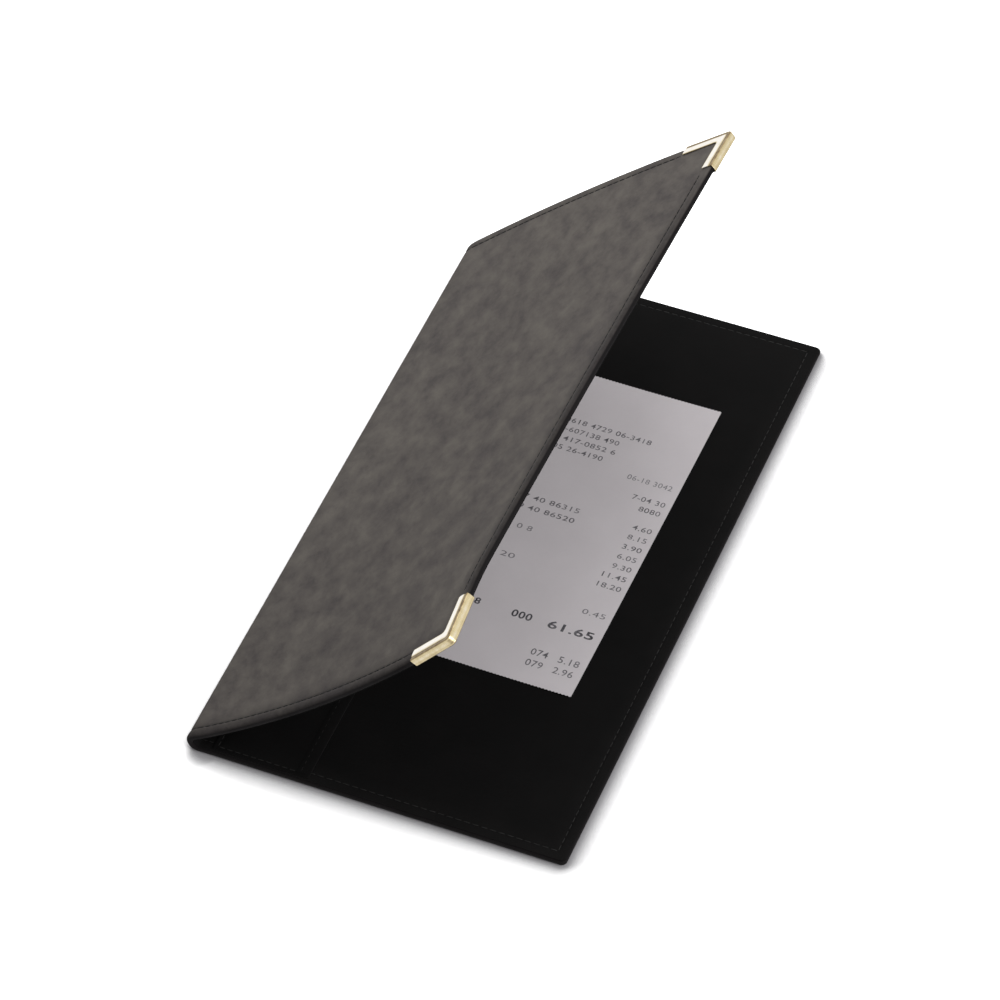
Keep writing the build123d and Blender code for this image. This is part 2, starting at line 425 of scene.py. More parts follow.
@dataclass(frozen=True)
class SewingThread(Finish):
    """Bonded polyester thread with its twist."""

    dark: Colour = srgb(15, 15, 15)
    light: Colour = srgb(28, 27, 26)
    twist_cells: float = 1500.0
    roughness: float = 0.55

    def surface(self, graph: Graph) -> Signal:
        """Principled shader with slanting plies along each stitch.

        Args:
            graph: The material's nodes.

        Returns:
            The shader's output.
        """
        place = graph.attribute(GRAIN, "Vector")
        settings = {"wave_type": "BANDS", "bands_direction": "DIAGONAL"}
        inputs = {"Vector": place, "Scale": self.twist_cells, "Distortion": 0.4}
        plies = graph.node("ShaderNodeTexWave", settings, inputs, output=1)
        return graph.principled({
            "Base Color": graph.tint(plies, self.dark, self.light),
            "Roughness": self.roughness + 0.1 * plies,
            "Specular IOR Level": 0.3,
            "Normal": graph.bump(plies, 0.04 * MM, 0.6),
        })


@dataclass(frozen=True)
class Greyboard(Finish):
    """Dense pressed board of mixed pulp."""

    dark: Colour = srgb(110, 104, 96)
    light: Colour = srgb(148, 141, 131)
    fibre_cells: float = 900.0

    def surface(self, graph: Graph) -> Signal:
        """Principled shader with flecked pulp.

        Args:
            graph: The material's nodes.

        Returns:
            The shader's output.
        """
        place = graph.attribute(GRAIN, "Vector")
        fleck = graph.cloudy(place, self.fibre_cells, 5.0, 0.7)
        return graph.principled({
            "Base Color": graph.tint(fleck, self.dark, self.light),
            "Roughness": 0.9 - 0.1 * fleck,
            "Specular IOR Level": 0.2,
            "Normal": graph.bump(fleck, 0.05 * MM, 0.5),
        })


@dataclass(frozen=True)
class GiltMetal(Finish):
    """Thin gilt plate on pressed steel: pale flats; golder walls, partly worn plating and partly a
    painted dimmer reflection; a tarnished crease that also paints a dark reflection; painted shade
    on the bends and along the flanges' inner edges.
    """

    pale: Colour = srgb(252, 247, 238)
    gold: Colour = srgb(214, 198, 157)
    # Tarnish colour: real tarnish in the pressed crease, and also painted shade on the bends, on
    # the flanges' inner edges and in place of the crease's dark reflection.
    tarnish_and_shade: Colour = srgb(98, 76, 46)
    gold_stop: float = 0.45
    cloud_cells: float = 420.0
    hairline_cells: float = 2600.0
    hairline_turn: float = 8.0  # degrees
    hairline_stretch: tuple[float, float] = (1.0, 14.0)
    roughness: tuple[float, float] = (0.12, 0.46)

    def surface(self, graph: Graph) -> Signal:
        """Metallic principled shader with clouded plating and drawn hairlines.

        Args:
            graph: The material's nodes.

        Returns:
            The shader's output.
        """
        place = graph.attribute(GRAIN, "Vector")
        cloud = graph.cloudy(place, self.cloud_cells)
        drawn = graph.turned(place, self.hairline_turn, self.hairline_stretch)
        hairline = graph.noise(drawn, self.hairline_cells, 2.0)
        # Tarnish and wear from the attribute, which also carries painted shade on the bends and
        # edges.
        edge_tone = graph.attribute(WEAR_AND_SHADE, "Fac") + (cloud - 0.5) * 0.16
        stops = [(0.0, self.pale), (self.gold_stop, self.gold), (1.0, self.tarnish_and_shade)]
        low, high = self.roughness
        return graph.principled({
            "Base Color": graph.node("ShaderNodeValToRGB", {"stops": stops}, {0: edge_tone}),
            "Metallic": 1.0,
            "Roughness": low + (high - low) * (0.7 * edge_tone + 0.15 * cloud + 0.15 * hairline),
            "Normal": graph.bump(hairline + cloud, 0.02 * MM, 0.25),
        })


@dataclass(frozen=True)
class TillPaper(Finish):
    """Coated till paper with a faint cool cast and pressed fibres."""

    white: Colour = srgb(221, 215, 218)
    shade: Colour = srgb(211, 205, 208)
    cloud_cells: float = 45.0
    fibre_cells: float = 700.0

    def surface(self, graph: Graph) -> Signal:
        """Principled shader with faint clouding.

        Args:
            graph: The material's nodes.

        Returns:
            The shader's output.
        """
        place = graph.attribute(GRAIN, "Vector")
        cloud = graph.cloudy(place, self.cloud_cells)
        fibre = graph.noise(place, self.fibre_cells, 4.0, 0.6)
        return graph.principled({
            "Base Color": graph.tint(cloud * 0.6 + fibre * 0.4, self.shade, self.white),
            "Roughness": 0.62 + 0.12 * fibre,
            "Specular IOR Level": 0.3,
            "Normal": graph.bump(fibre + 0.5 * cloud, 0.02 * MM, 0.4),
        })


@dataclass(frozen=True)
class PrintInk(Finish):
    """Worn ribbon ink, broken up by the paper's tooth."""

    full: Colour = srgb(62, 60, 65)
    thin: Colour = srgb(150, 147, 151)
    patch_cells: float = 240.0
    tooth_cells: float = 3200.0

    def surface(self, graph: Graph) -> Signal:
        """Principled shader that fades from full to thin ink.

        Args:
            graph: The material's nodes.

        Returns:
            The shader's output.
        """
        place = graph.attribute(GRAIN, "Vector")
        patch = graph.contrast(graph.noise(place, self.patch_cells, 2.0), 0.35, 0.75)
        tooth = graph.contrast(graph.noise(place, self.tooth_cells, 2.0), 0.45, 0.8)
        faded = graph.contrast(0.6 * patch + 0.4 * tooth + graph.attribute(WEAR_AND_SHADE, "Fac"), 0.0, 1.0)
        return graph.principled({
            "Base Color": graph.tint(faded, self.full, self.thin),
            "Roughness": 0.7 + 0.1 * tooth,
            "Specular IOR Level": 0.2,
        })


def ray_kind(graph: Graph, *kinds: str) -> Signal:
    """1 for rays of any of these kinds, named as on the Light Path node.

    Args:
        graph: The nodes of a material or the world.
        kinds: One or more kinds.

    Returns:
        1 or 0.
    """
    total = 0.0
    for kind in kinds:
        total = graph.node("ShaderNodeLightPath", output=kind) + total
    return graph.contrast(total, 0.0, 1.0)


@dataclass(frozen=True)
class StudioFloor(Finish):
    """Pale floor that is seen and mirrored as white and keeps the object's shadow."""

    pale: Colour = srgb(205, 205, 205)
    white: Colour = (1.0, 1.0, 1.0, 1.0)
    # Painted contact shadow: the floor's colour close beside the part, on its side away from the
    # far left.
    contact_shadow: Colour = srgb(122, 121, 123)
    shadow_reach: float = 9.0 * MM
    shadow_light_from: tuple[float, float, float] = (-0.7, 0.5, 0.52)
    lift: float = 0.1

    def _tone(self, graph: Graph) -> Signal:
        """White, with a painted contact shadow: darkened close to whatever stands on the floor
        towards the far left of it, as if lit from the far left.

        Args:
            graph: The material's nodes.

        Returns:
            The colour.
        """
        toward = dict(zip("XYZ", self.shadow_light_from))
        inputs = {
            "Distance": self.shadow_reach,
            "Normal": graph.node("ShaderNodeCombineXYZ", inputs=toward),
        }
        open_sky = graph.node("ShaderNodeAmbientOcclusion", {"samples": 12}, inputs, output="AO")
        clear = graph.contrast(open_sky, 0.55, 1.0)
        return graph.tint(clear * clear, self.contact_shadow, self.white)

    def surface(self, graph: Graph) -> Signal:
        """Matt shader: doubled for the camera, white in reflections, pale for all other light.

        Args:
            graph: The material's nodes.

        Returns:
            The shader's output.
        """
        tone = self._tone(graph)
        pale, first, second = [
            graph.node("ShaderNodeBsdfDiffuse", inputs={"Color": colour})
            for colour in (self.pale, tone, tone)
        ]
        glow = graph.node("ShaderNodeEmission", inputs={"Color": tone, "Strength": self.lift})
        doubled = graph.node("ShaderNodeAddShader", inputs={0: first, 1: second})
        looked_at = graph.node("ShaderNodeAddShader", inputs={0: doubled, 1: glow})
        white = graph.node("ShaderNodeEmission", inputs={"Color": self.white, "Strength": 1.0})
        mirrored = ray_kind(graph, "Is Glossy Ray", "Is Transmission Ray")
        unseen = graph.node("ShaderNodeMixShader", inputs={0: mirrored, 1: pale, 2: white})
        camera = ray_kind(graph, "Is Camera Ray")
        return graph.node("ShaderNodeMixShader", inputs={0: camera, 1: unseen, 2: looked_at})


LEATHERETTE = Leatherette("brushed_leatherette")
LINING = LiningSheet("black_lining")
THREAD = SewingThread("sewing_thread")
BOARD = Greyboard("greyboard")
GILT = GiltMetal("gilt_plate")
PAPER = TillPaper("coated_till_paper")
INK = PrintInk("print_ink")


# ---- meshes


class Sketch:
    """Points and faces of one mesh, with the grain, and the wear and painted shade, that its finish
    reads.
    """

    def __init__(self, name: str) -> None:
        """Starts an empty mesh of this name.

        Args:
            name: Of the mesh and its object.
        """
        self.name = name
        self.places: list[Vector] = []
        self.grain: list[Vector] = []
        self.wear: list[float] = []
        self.faces: list[tuple[int, ...]] = []

    def point(self, place: Vector, grain: Vector, wear: float = 0.0) -> int:
        """Adds a point and returns its number.

        Args:
            place: Where it is.
            grain: Its place in the finish.
            wear: From 0 to 1.

        Returns:
            Its number.
        """
        self.places.append(place)
        self.grain.append(grain)
        self.wear.append(wear)
        return len(self.places) - 1

    def bridge(self, first: Sequence[int], second: Sequence[int]) -> None:
        """Joins two rows of equal length with four-sided faces."""
        for (a, b), (c, d) in zip(zip(first, first[1:]), zip(second, second[1:])):
            self.faces.append((a, b, d, c))

    def sheet(self, rows: Rows) -> None:
        """Joins each row to the next."""
        for first, second in zip(rows, rows[1:]):
            self.bridge(first, second)

    def closed(self, seen: Rows, hidden: Rows, rim: Callable[[int, int], list[int]] | None) -> None:
        """Solid between two grids, with a rolled rim where the caller gives its points.

        Args:
            seen: Rows of points on the seen face.
            hidden: Rows of as many points on the other face.
            rim: The points between the two faces at a border place, or None for a plain wall.
        """
        self.sheet(seen)
        self.sheet(hidden)
        last_row, last = len(seen) - 1, len(seen[0]) - 1
        border = [(row, 0) for row in range(last_row + 1)]
        border += [(last_row, column) for column in range(1, last + 1)]
        border += [(row, last) for row in range(last_row - 1, -1, -1)]
        border += [(0, column) for column in range(last - 1, -1, -1)]
        columns = [
            [seen[row][column], *(rim(row, column) if rim else []), hidden[row][column]]
            for row, column in border
        ]
        for first, second in zip(columns, columns[1:]):
            if len(first) == len(second):
                self.bridge(first, second)
            else:
                self.faces.append((*first, *reversed(second)))

    def build(self, finish: Finish) -> Object:
        """Makes the mesh object, shaded smooth up to its sharp edges.

        Args:
            finish: What the piece is made of.

        Returns:
            The new object, which rides on nothing yet.
        """
        mesh = bpy.data.meshes.new(self.name)
        mesh.from_pydata([tuple(place) for place in self.places], [], self.faces)
        grain = mesh.attributes.new(GRAIN, "FLOAT_VECTOR", "POINT")
        grain.data.foreach_set("vector", [value for place in self.grain for value in place])
        mesh.attributes.new(WEAR_AND_SHADE, "FLOAT", "POINT").data.foreach_set("value", self.wear)
        work = bmesh.new()
        work.from_mesh(mesh)
        bmesh.ops.recalc_face_normals(work, faces=work.faces)
        work.to_mesh(mesh)
        work.free()
        mesh.shade_smooth()
        mesh.set_sharp_from_angle(angle=radians(SMOOTH_ANGLE))
        mesh.materials.append(finish.material())
        LOG.info("%s: %d points, %d faces", self.name, len(self.places), len(self.faces))
        return new_object(self.name, mesh)


def new_object(name: str, data: bpy.types.ID) -> Object:
    """Object of this name in the scene, which holds the data.

    Args:
        name: Of the object.
        data: A mesh, curve, lamp or camera.

    Returns:
        The object.
    """
    made = bpy.data.objects.new(name, data)
    bpy.context.scene.collection.objects.link(made)
    return made


def soften(piece: Object, width: float) -> None:
    """Takes the sharp edges off a piece, so that they catch light.

    Args:
        piece: Any finished piece.
        width: Of the bevel.
    """
    bevel = piece.modifiers.new("soft_edges", "BEVEL")
    bevel.width = width
    bevel.segments = 2
    bevel.limit_method = "ANGLE"
    bevel.angle_limit = radians(SMOOTH_ANGLE)


# ---- the folded sheet


@dataclass(frozen=True)
class Panel:
    """A cover or the spine, as a bowed sheet that turns about its fold line.

    Attributes:
        fold: Where the fold line crosses the middle of the part.
        reach: From the fold line to the far edge.
        outward: 1 or -1, so that the third direction points out of the closed folder.
        angles: Of the chord above +X, at the near and the far end.
        bows: Height of the bow on the chord at both ends, outwards positive.
        height: Length along the spine.
        wrap_start: Place of the fold line along the unrolled leatherette.
        wrap_sign: Whether that place grows or falls away from the fold line.
        free_rise: How far the free edge curls outwards of the line between its corners.

    FLAT_CORNER holds the shares of the height from the near end up to which the curl climbs
    evenly, where metal holds the corner flat, and at which it is full.
    """

    fold: Vector
    reach: float
    outward: int
    angles: tuple[float, float]
    bows: tuple[float, float]
    height: float
    wrap_start: float
    wrap_sign: int
    free_rise: float = 0.0

    FLAT_CORNER = (0.09, 0.15)

    def _rise(self, t: float, share: float) -> float:
        """How far the sheet curls outwards of its two straight ends, at a share of the height.

        Args:
            t: From the fold line.
            share: From the near end.

        Returns:
            The rise, outwards positive.
        """
        flat, level = self.FLAT_CORNER
        bent = max(0.0, min(share, level) - flat)
        climb = min(share, level) - bent**2 / (2 * (level - flat))
        climbed = climb / ((flat + level) / 2)
        return self.free_rise * (t / self.reach) ** 2 * climbed * (1 - share**2)

    def point(self, t: float, n: float, y: float) -> Vector:
        """Place at t from the fold line, n outwards of the skin's middle, y from the near end.

        Args:
            t: Along the sheet.
            n: Off the sheet.
            y: Along the spine.

        Returns:
            The place in the part's frame.
        """
        share = y / self.height
        angle = radians(mix(self.angles, share))
        bow = mix(self.bows, share)
        along, out = t, n
        if bow:
            half = self.reach / 2
            radius = (half**2 + bow**2) / (2 * bow)
            turn = asin(half / radius) * (t / half - 1)
            along = half + (radius + n) * sin(turn)
            out = bow + n * cos(turn) - 2 * radius * sin(turn / 2) ** 2
        if self.free_rise:
            out += self._rise(t, share)
        out *= self.outward
        x = self.fold.x + along * cos(angle) - out * sin(angle)
        z = self.fold.z + along * sin(angle) + out * cos(angle)
        return Vector((x, y - self.height / 2, z))

    def heading(self, t: float, y: float) -> Vector:
        """Unit direction away from the fold line."""
        return (self.point(t + HAIR, 0, y) - self.point(t - HAIR, 0, y)).normalized()

    def wrap(self, t: float) -> float:
        """Place along the unrolled leatherette."""
        return self.wrap_start + self.wrap_sign * t


class Level(Enum):
    """A face of the folded sheet, where a cover has its board and where the spine has none."""

    OUTSIDE = "outside"
    CORE = "core"
    LINING = "lining"


class Half(Enum):
    """Which fold a bend lies on."""

    LOWER = "lower"
    UPPER = "upper"


@dataclass(frozen=True)
class Folder:
    """The folded sheet that every piece lies on: two covers with the spine between them.

    Attributes:
        back: The back cover.
        spine: The strip between the fold lines.
        front: The front cover.
        cover_levels: Depth of each level on a cover.
        spine_levels: Depth of each level on the spine.
        bend_reach: How far onto a cover the bend of a fold is felt.
        spine_drawn_in: How far the wrap's near and far ends are drawn in at the spine's middle.
        blend_reach: How far from a fold line the ends of its blend are placed; the sheet is not
            moved by them.

    FRONT_ANGLES, FRONT_BOWS and FRONT_RISE are the front cover's, as Panel has them. SPINE_CROWN
    is the bow of the strip between the fold lines, and SPINE_PADDING what its leatherette gains
    in thickness at the middle. OUTER_HANDLES and INNER_HANDLES are the lengths of a bend's two
    curve handles, on the cover and on the spine, as shares of its chord.
    """

    back: Panel
    spine: Panel
    front: Panel
    cover_levels: dict[Level, float]
    spine_levels: dict[Level, float]
    bend_reach: float = 4.8 * MM
    spine_drawn_in: tuple[float, float] = (0.0, 1.6 * MM)
    blend_reach: float = 2.6 * MM

    FRONT_ANGLES = (44.1, 42.6)
    FRONT_BOWS = (-5.0 * MM, 1.6 * MM)
    FRONT_RISE = 2.75 * MM
    SPINE_CROWN = 0.35 * MM
    SPINE_PADDING = 1.95 * MM
    OUTER_HANDLES = (0.52, 0.42)
    INNER_HANDLES = (0.4, 0.34)

    @classmethod
    def from_frame(cls, frame: dict[str, Any]) -> "Folder":
        """Reads folds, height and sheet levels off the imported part.


        Returns:
            The folder as it stands at rest.
        """
        joints = frame["joints"]
        places = {joint["name"]: Vector(joint["pos_m"]) for joint in joints if "pos_m" in joint}
        lower, upper = places["spine_fold"], places["cover_fold"]
        skin_low, skin_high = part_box("back_skin")
        lining_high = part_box("back_lining")[1]
        height = skin_high.y - skin_low.y
        reach = skin_high.x - lower.x
        link = upper - lower
        lean = degrees(atan2(link.z, link.x))
        crown = cls.SPINE_CROWN
        half_skin = lower.z
        spine_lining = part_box("back_lining")[1].z - skin_high.z
        return cls(
            back=Panel(lower, reach, -1, (0, 0), (0, 0), height, 0.0, -1),
            spine=Panel(lower, link.length, 1, (lean, lean), (crown, crown), height, 0.0, 1),
            front=Panel(
                upper,
                reach,
                outward=1,
                angles=cls.FRONT_ANGLES,
                bows=cls.FRONT_BOWS,
                height=height,
                wrap_start=link.length,
                wrap_sign=1,
                free_rise=cls.FRONT_RISE,
            ),
            cover_levels={
                Level.OUTSIDE: half_skin,
                Level.CORE: lower.z - skin_high.z,
                Level.LINING: lower.z - lining_high.z,
            },
            spine_levels={
                Level.OUTSIDE: half_skin + cls.SPINE_PADDING,
                Level.CORE: -half_skin,
                Level.LINING: -half_skin - spine_lining,
            },
        )

    def cover_of(self, half: Half) -> Panel:
        """The cover that a bend ends on."""
        return self.back if half is Half.LOWER else self.front

    def rail(self, half: Half, level: Level, share: float, y: float) -> Vector:
        """A point on one level of a bend.

        Args:
            half: Which fold.
            level: Which face of the sheet.
            share: 0 on the cover, 1 at the middle of the spine.
            y: From the near end.

        Returns:
            The place, on a smooth curve that leaves the cover and meets the spine in line.
        """
        cover = self.cover_of(half)
        middle = self.spine.reach / 2
        start = cover.point(self.bend_reach, self.cover_levels[level], y)
        end = self.spine.point(middle, self.spine_levels[level], y)
        leave = -cover.heading(self.bend_reach, y)
        arrive = self.spine.heading(middle, y) * (1 if half is Half.LOWER else -1)
        chord = (end - start).length
        reach_out, reach_in = self.OUTER_HANDLES if level is Level.OUTSIDE else self.INNER_HANDLES
        handles = start + leave * chord * reach_out, end - arrive * chord * reach_in
        rest = 1 - share
        return (
            start * rest**3
            + handles[0] * 3 * rest**2 * share
            + handles[1] * 3 * rest * share**2
            + end * share**3
        )

    def wrap(self, half: Half, share: float) -> float:
        """Place along the unrolled leatherette of a point on a bend."""
        run = self.bend_reach * (1 - share) - self.spine.reach / 2 * share
        return self.cover_of(half).wrap(run)

    def drawn(self, y: float, share: float) -> float:
        """y once the ends of the wrap are drawn in towards the spine's middle.

        Args:
            y: From the near end.
            share: From the cover to the spine's middle.

        Returns:
            The new y.
        """
        middle = self.spine.height / 2
        most = self.spine_drawn_in[0 if y < middle else 1]
        return middle + (y - middle) * (1 - most * ease(share) / middle)

    def bend(self, piece: Object, half: Half) -> None:
        """Bakes a finished piece's place into its mesh; it follows neither body at its fold.

        Args:
            piece: A strip or its stitches.
            half: The fold it lies on.
        """
        link = self.spine.heading(self.spine.reach / 2, self.spine.height / 2)
        if half is Half.LOWER:
            fold, bodies = self.spine.fold, ("back_cover", "spine")
            before, after = Vector((1, 0, 0)), link
        else:
            fold, bodies = self.front.fold, ("spine", "front_cover")
            before, after = -link, self.front.heading(self.bend_reach, self.spine.height / 2)
        start, end = fold + before * self.blend_reach, fold + after * self.blend_reach
        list(bodies)
        tuple(start)
        tuple(end)
        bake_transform(piece)


# ---- seams


@dataclass(frozen=True)
class Seam:
    """A lockstitched seam in its pressed channel, parallel to the covers' outline.

    Attributes:
        inset: Of the stitches inside the outline.
        puff: How far the sheet swells between them and the outline.
        thread: Radius of the thread.
        sunk: How deep a stitch's middle lies in the sheet.
        dive: How much deeper both its ends go.
    """

    inset: float = 4.0 * MM
    channel: float = 0.28 * MM
    channel_width: float = 0.46 * MM
    puff: float = 0.12 * MM
    pitch: float = 3.1 * MM
    stitch: float = 2.75 * MM
    thread: float = 0.17 * MM
    sunk: float = 0.1 * MM
    dive: float = 0.22 * MM
    sides: int = 6
    rings: int = 7

    def rows(self) -> list[float]:
        """Insets at which a mesh needs rows to show the channel."""
        shares = (-2.6, -1.8, -1.3, -0.9, -0.45, 0.0, 0.45, 0.9, 1.3, 1.8, 2.6)
        return [self.inset + share * self.channel_width for share in shares]

    def relief(self, inset: float) -> float:
        """Depth below the flat face at an inset from the outline, negative where it swells."""
        swell = self.puff * sin(pi * min(inset / self.inset, 1.0)) ** 2
        return self.channel * exp(-(((inset - self.inset) / self.channel_width) ** 2)) - swell

    def sew(self, sketch: Sketch, run: Callable[[float, float], Vector], length: float) -> None:
        """Adds the stitches of one straight run.

        Args:
            sketch: The mesh that takes them.
            run: Gives the place at a distance along the run and a lift above its face.
            length: Of the run.
        """
        count = max(1, round(length / self.pitch))
        pitch = length / count
        stitch = self.stitch * pitch / self.pitch
        for index in range(count):
            middle = (index + 0.5) * pitch
            rings = []
            for ring in range(self.rings):
                share = ring / (self.rings - 1) * 2 - 1
                bulge = sqrt(max(0.0, 1 - share**6))
                place = middle + share * stitch / 2
                lift = -self.sunk - self.dive * share**4
                centre = run(place, lift)
                along = (run(place + HAIR, lift) - run(place - HAIR, lift)).normalized()
                out = (run(place, lift + HAIR) - run(place, lift - HAIR)).normalized()
                across = along.cross(out)
                radius = self.thread * max(0.35, bulge)
                rings.append(self._ring(sketch, centre, across, out, radius, place))
            for first, second in zip(rings, rings[1:]):
                sketch.bridge([*first, first[0]], [*second, second[0]])
            sketch.faces.append(tuple(rings[0]))
            sketch.faces.append(tuple(rings[-1]))

    def _ring(
        self,
        sketch: Sketch,
        centre: Vector,
        across: Vector,
        out: Vector,
        radius: float,
        place: float,
    ) -> list[int]:
        """Points of one ring round the thread.

        Args:
            sketch: The mesh that takes it.
            centre: Of the ring.
            across: Direction across the thread.
            out: Direction off the face.
            radius: Of the thread here.
            place: Along the run.

        Returns:
            The points' numbers.
        """
        ring = []
        for side in range(self.sides):
            turn = tau * side / self.sides
            offset = across * cos(turn) * radius + out * sin(turn) * radius
            grain = Vector((place, turn * radius, 0.0))
            ring.append(sketch.point(centre + offset, grain))
        return ring


# ---- sheets


def rim_wear_and_shade(inset: float, depth: float, share: float) -> float:
    """Wear and painted shade from 0 to 1 at a depth share: strongest on the rim, faint towards the
    far end. On the leatherette it paints shade on the rolled rims.
    """
    untouched = 0.8 * ease((share - 0.7) / 0.3)
    return max(0.0, 1 - inset / RIM_WEAR_AND_SHADE_REACH - 0.5 * depth) * (1 - untouched)


def ripple(grain: Vector) -> float:
    """Faint unevenness of a glued sheet, from its place on the unrolled sheet.

    Args:
        grain: That place.

    Returns:
        The rise, to either side of 0.
    """
    return sum(
        depth * noise.noise(Vector((grain.x * cells, grain.y * cells, layer)))
        for cells, depth, layer in RIPPLES
    )


@dataclass(frozen=True)
class Plate:
    """A sheet as large as a cover less a margin, with rolled edges and rounded free corners.

    Attributes:
        name: The piece's name.
        panel: The cover that it lies on.
        start: t of its edge at the spine.
        margin: Its outline's distance inside the cover's.
        face: Depth of the seen face.
        back: Depth of the hidden face.
        corner_radius: Of the cover's free corners, in plan.
        face_roll: Radius of the edges of the seen face.
        back_roll: Radius of the edges of the hidden face.
        seam: The seam pressed into the seen face, or None.
        pressed: Length from each free corner that folded metal holds flat.
        rippled: Whether the seen face shows the glued sheet's unevenness.
        step: Spacing of the rows away from the edges.

    Beyond pressed metal the seam's channel deepens over METAL_FADE and its stitches start after
    METAL_GAP. SEAL_STRIP is the narrow last row along the spine's side.
    """

    name: str
    panel: Panel
    start: float
    margin: float
    face: float
    back: float
    corner_radius: float
    face_roll: float
    back_roll: float
    seam: Seam | None = None
    pressed: float = 0.0
    rippled: bool = True
    step: float = 4.0 * MM

    METAL_FADE = 2.0 * MM
    METAL_GAP = 0.8 * MM
    SEAL_STRIP = 0.05 * MM

    @property
    def side(self) -> int:
        """1 where the seen face looks out of the closed folder, -1 where it looks in."""
        return 1 if self.face > self.back else -1

    @property
    def thickness(self) -> float:
        """Of the sheet."""
        return abs(self.face - self.back)

    @property
    def radius(self) -> float:
        """Of this sheet's own corners, in plan."""
        return max(self.corner_radius - self.margin, self.face_roll, self.back_roll)

    @property
    def reach(self) -> float:
        """t of its free edge."""
        return self.panel.reach - self.margin

    def edge_rows(self) -> list[float]:
        """Insets of the closely spaced rows along an edge.

        Returns:
            The insets, from the outline inwards.
        """
        rows = {self.face_roll * (1 - sine_cosine(turn)[1]) for turn in ROLL_TURNS}
        rows.add(self.radius)
        if self.seam:
            rows.update(row - self.margin for row in self.seam.rows())
            rows.update(share * self.seam.inset for share in (0.42, 0.55, 0.68))
        rows = sorted(row for row in rows if row >= 0)
        return [row for row, after in zip(rows, [*rows[1:], inf]) if after - row > 2 * HAIR]

    def plan(self, a: float, b: float, rim: float = 0.0) -> tuple[float, float]:
        """Rounds the corner of a grid place.

        Args:
            a: Inset from the free edge.
            b: Inset from the nearer end edge.
            rim: Inset at which the outermost row lies.

        Returns:
            Both insets on the rounded sheet.
        """
        radius = self.radius
        near, far = min(a, b), max(a, b)
        if near >= radius:
            return a, b
        inset = rim + near * (radius - rim) / radius
        if far >= radius:
            return (inset, b) if a < b else (a, inset)
        turn = radians(45) * (radius - far) / (radius - near)
        short = radius - (radius - inset) * cos(turn)
        long = radius - (radius - inset) * sin(turn)
        return (short, long) if a < b else (long, short)

    def relief(self, a: float, b: float) -> float:
        """Depth of the seen face below flat, at insets from the free edge and the nearer end.

        Args:
            a: From the free edge.
            b: From the nearer end edge.

        Returns:
            The depth.
        """
        inset = min(a, b)
        depth = roll_drop(self.face_roll, inset)
        if self.seam:
            shape = self.seam.relief(inset + self.margin)
            if self.pressed:
                shape *= ease((max(a, b) - self.pressed) / self.METAL_FADE)
            depth += shape
        return depth

    def _add(
        self, sketch: Sketch, a: float, y: float, hidden: bool, rim: float, depth: float
    ) -> int:
        """Adds the point of one grid place, at a rim inset and a depth below the seen face.

        Args:
            sketch: The mesh that takes it.
            a: From the free edge.
            y: From the cover's near end.
            hidden: Whether it is off the seen face.
            rim: Inset of the outermost row.
            depth: Below the seen face.

        Returns:
            The point's number.
        """
        height = self.panel.height
        b = min(y, height - y) - self.margin
        plan_a, plan_b = self.plan(a, max(b, 0.0), rim)
        t = self.reach - plan_a
        along = self.margin + plan_b
        y_placed = along if y < height / 2 else height - along
        grain = Vector((self.panel.wrap(t), y_placed, -depth))
        n = self.face - self.side * depth
        inset = min(a, max(b, 0.0))
        if not hidden and self.rippled:
            n += self.side * ripple(grain) * ease(inset / RIPPLE_FADE)
        wear = rim_wear_and_shade(inset, depth / self.thickness, y_placed / height)
        return sketch.point(self.panel.point(t, n, y_placed), grain, wear)

    def build(self, finish: Finish) -> Object:
        """Makes the sheet as one closed solid.

        Args:
            finish: What it is made of.

        Returns:
            The piece, which rides on nothing yet.
        """
        sketch = Sketch(self.name)
        edge = self.edge_rows()
        length = self.reach - self.start
        seal = length - self.SEAL_STRIP
        insets = [*edge, *spread(edge[-1], seal, self.step), seal, length]
        end_rows = [self.margin + row for row in edge]
        top_rows = [self.panel.height - row for row in reversed(end_rows)]
        ys = [*end_rows, *spread(end_rows[-1], top_rows[0], self.step), *top_rows]
        heights = {y: min(y, self.panel.height - y) - self.margin for y in ys}

        def depth_at(a: float, y: float) -> float:
            """Depth of the seen face at a grid place."""
            return self.relief(a, heights[y])

        seen = [[self._add(sketch, a, y, False, 0.0, depth_at(a, y)) for y in ys] for a in insets]
        back_row = partial(self._add, sketch, hidden=True, rim=self.back_roll, depth=self.thickness)
        hidden = [[back_row(a, y) for y in ys] for a in insets]
        wall_end = self.thickness - self.back_roll
        rim_rows = [(0.0, mix((self.face_roll, wall_end), 0.5)), (0.0, wall_end)]
        for turn in BACK_TURNS:
            sine, cosine = sine_cosine(turn)
            rim_rows.append((self.back_roll * (1 - cosine), wall_end + self.back_roll * sine))

        def rim(row: int, column: int) -> list[int]:
            """Points down the rolled edge at a border place, and none along the spine's side.

            Args:
                row: Of the border place.
                column: Of the border place.

            Returns:
                The points' numbers.
            """
            if row == len(insets) - 1 and 0 < column < len(ys) - 1:
                return []
            return [
                self._add(sketch, insets[row], ys[column], True, inset, depth)
                for inset, depth in rim_rows
            ]

        sketch.closed(seen, hidden, rim)
        return sketch.build(finish)

    def sew(self, name: str, finish: Finish) -> Object:
        """Makes the stitches of this sheet's seam.

        Args:
            name: Of the new piece.
            finish: The thread.

        Returns:
            The stitches as one piece.
        """
        sketch = Sketch(name)
        inset, height = self.seam.inset, self.panel.height
        turn_t = self.panel.reach - inset
        end_clear, side_clear = turn_t, inset
        if self.pressed:
            side_clear = self.pressed + self.METAL_GAP
            end_clear = self.panel.reach - side_clear

        def at(t: float, y: float, lift: float) -> Vector:
            """Place above the seen face."""
            return self.panel.point(t, self.face + self.side * lift, y)

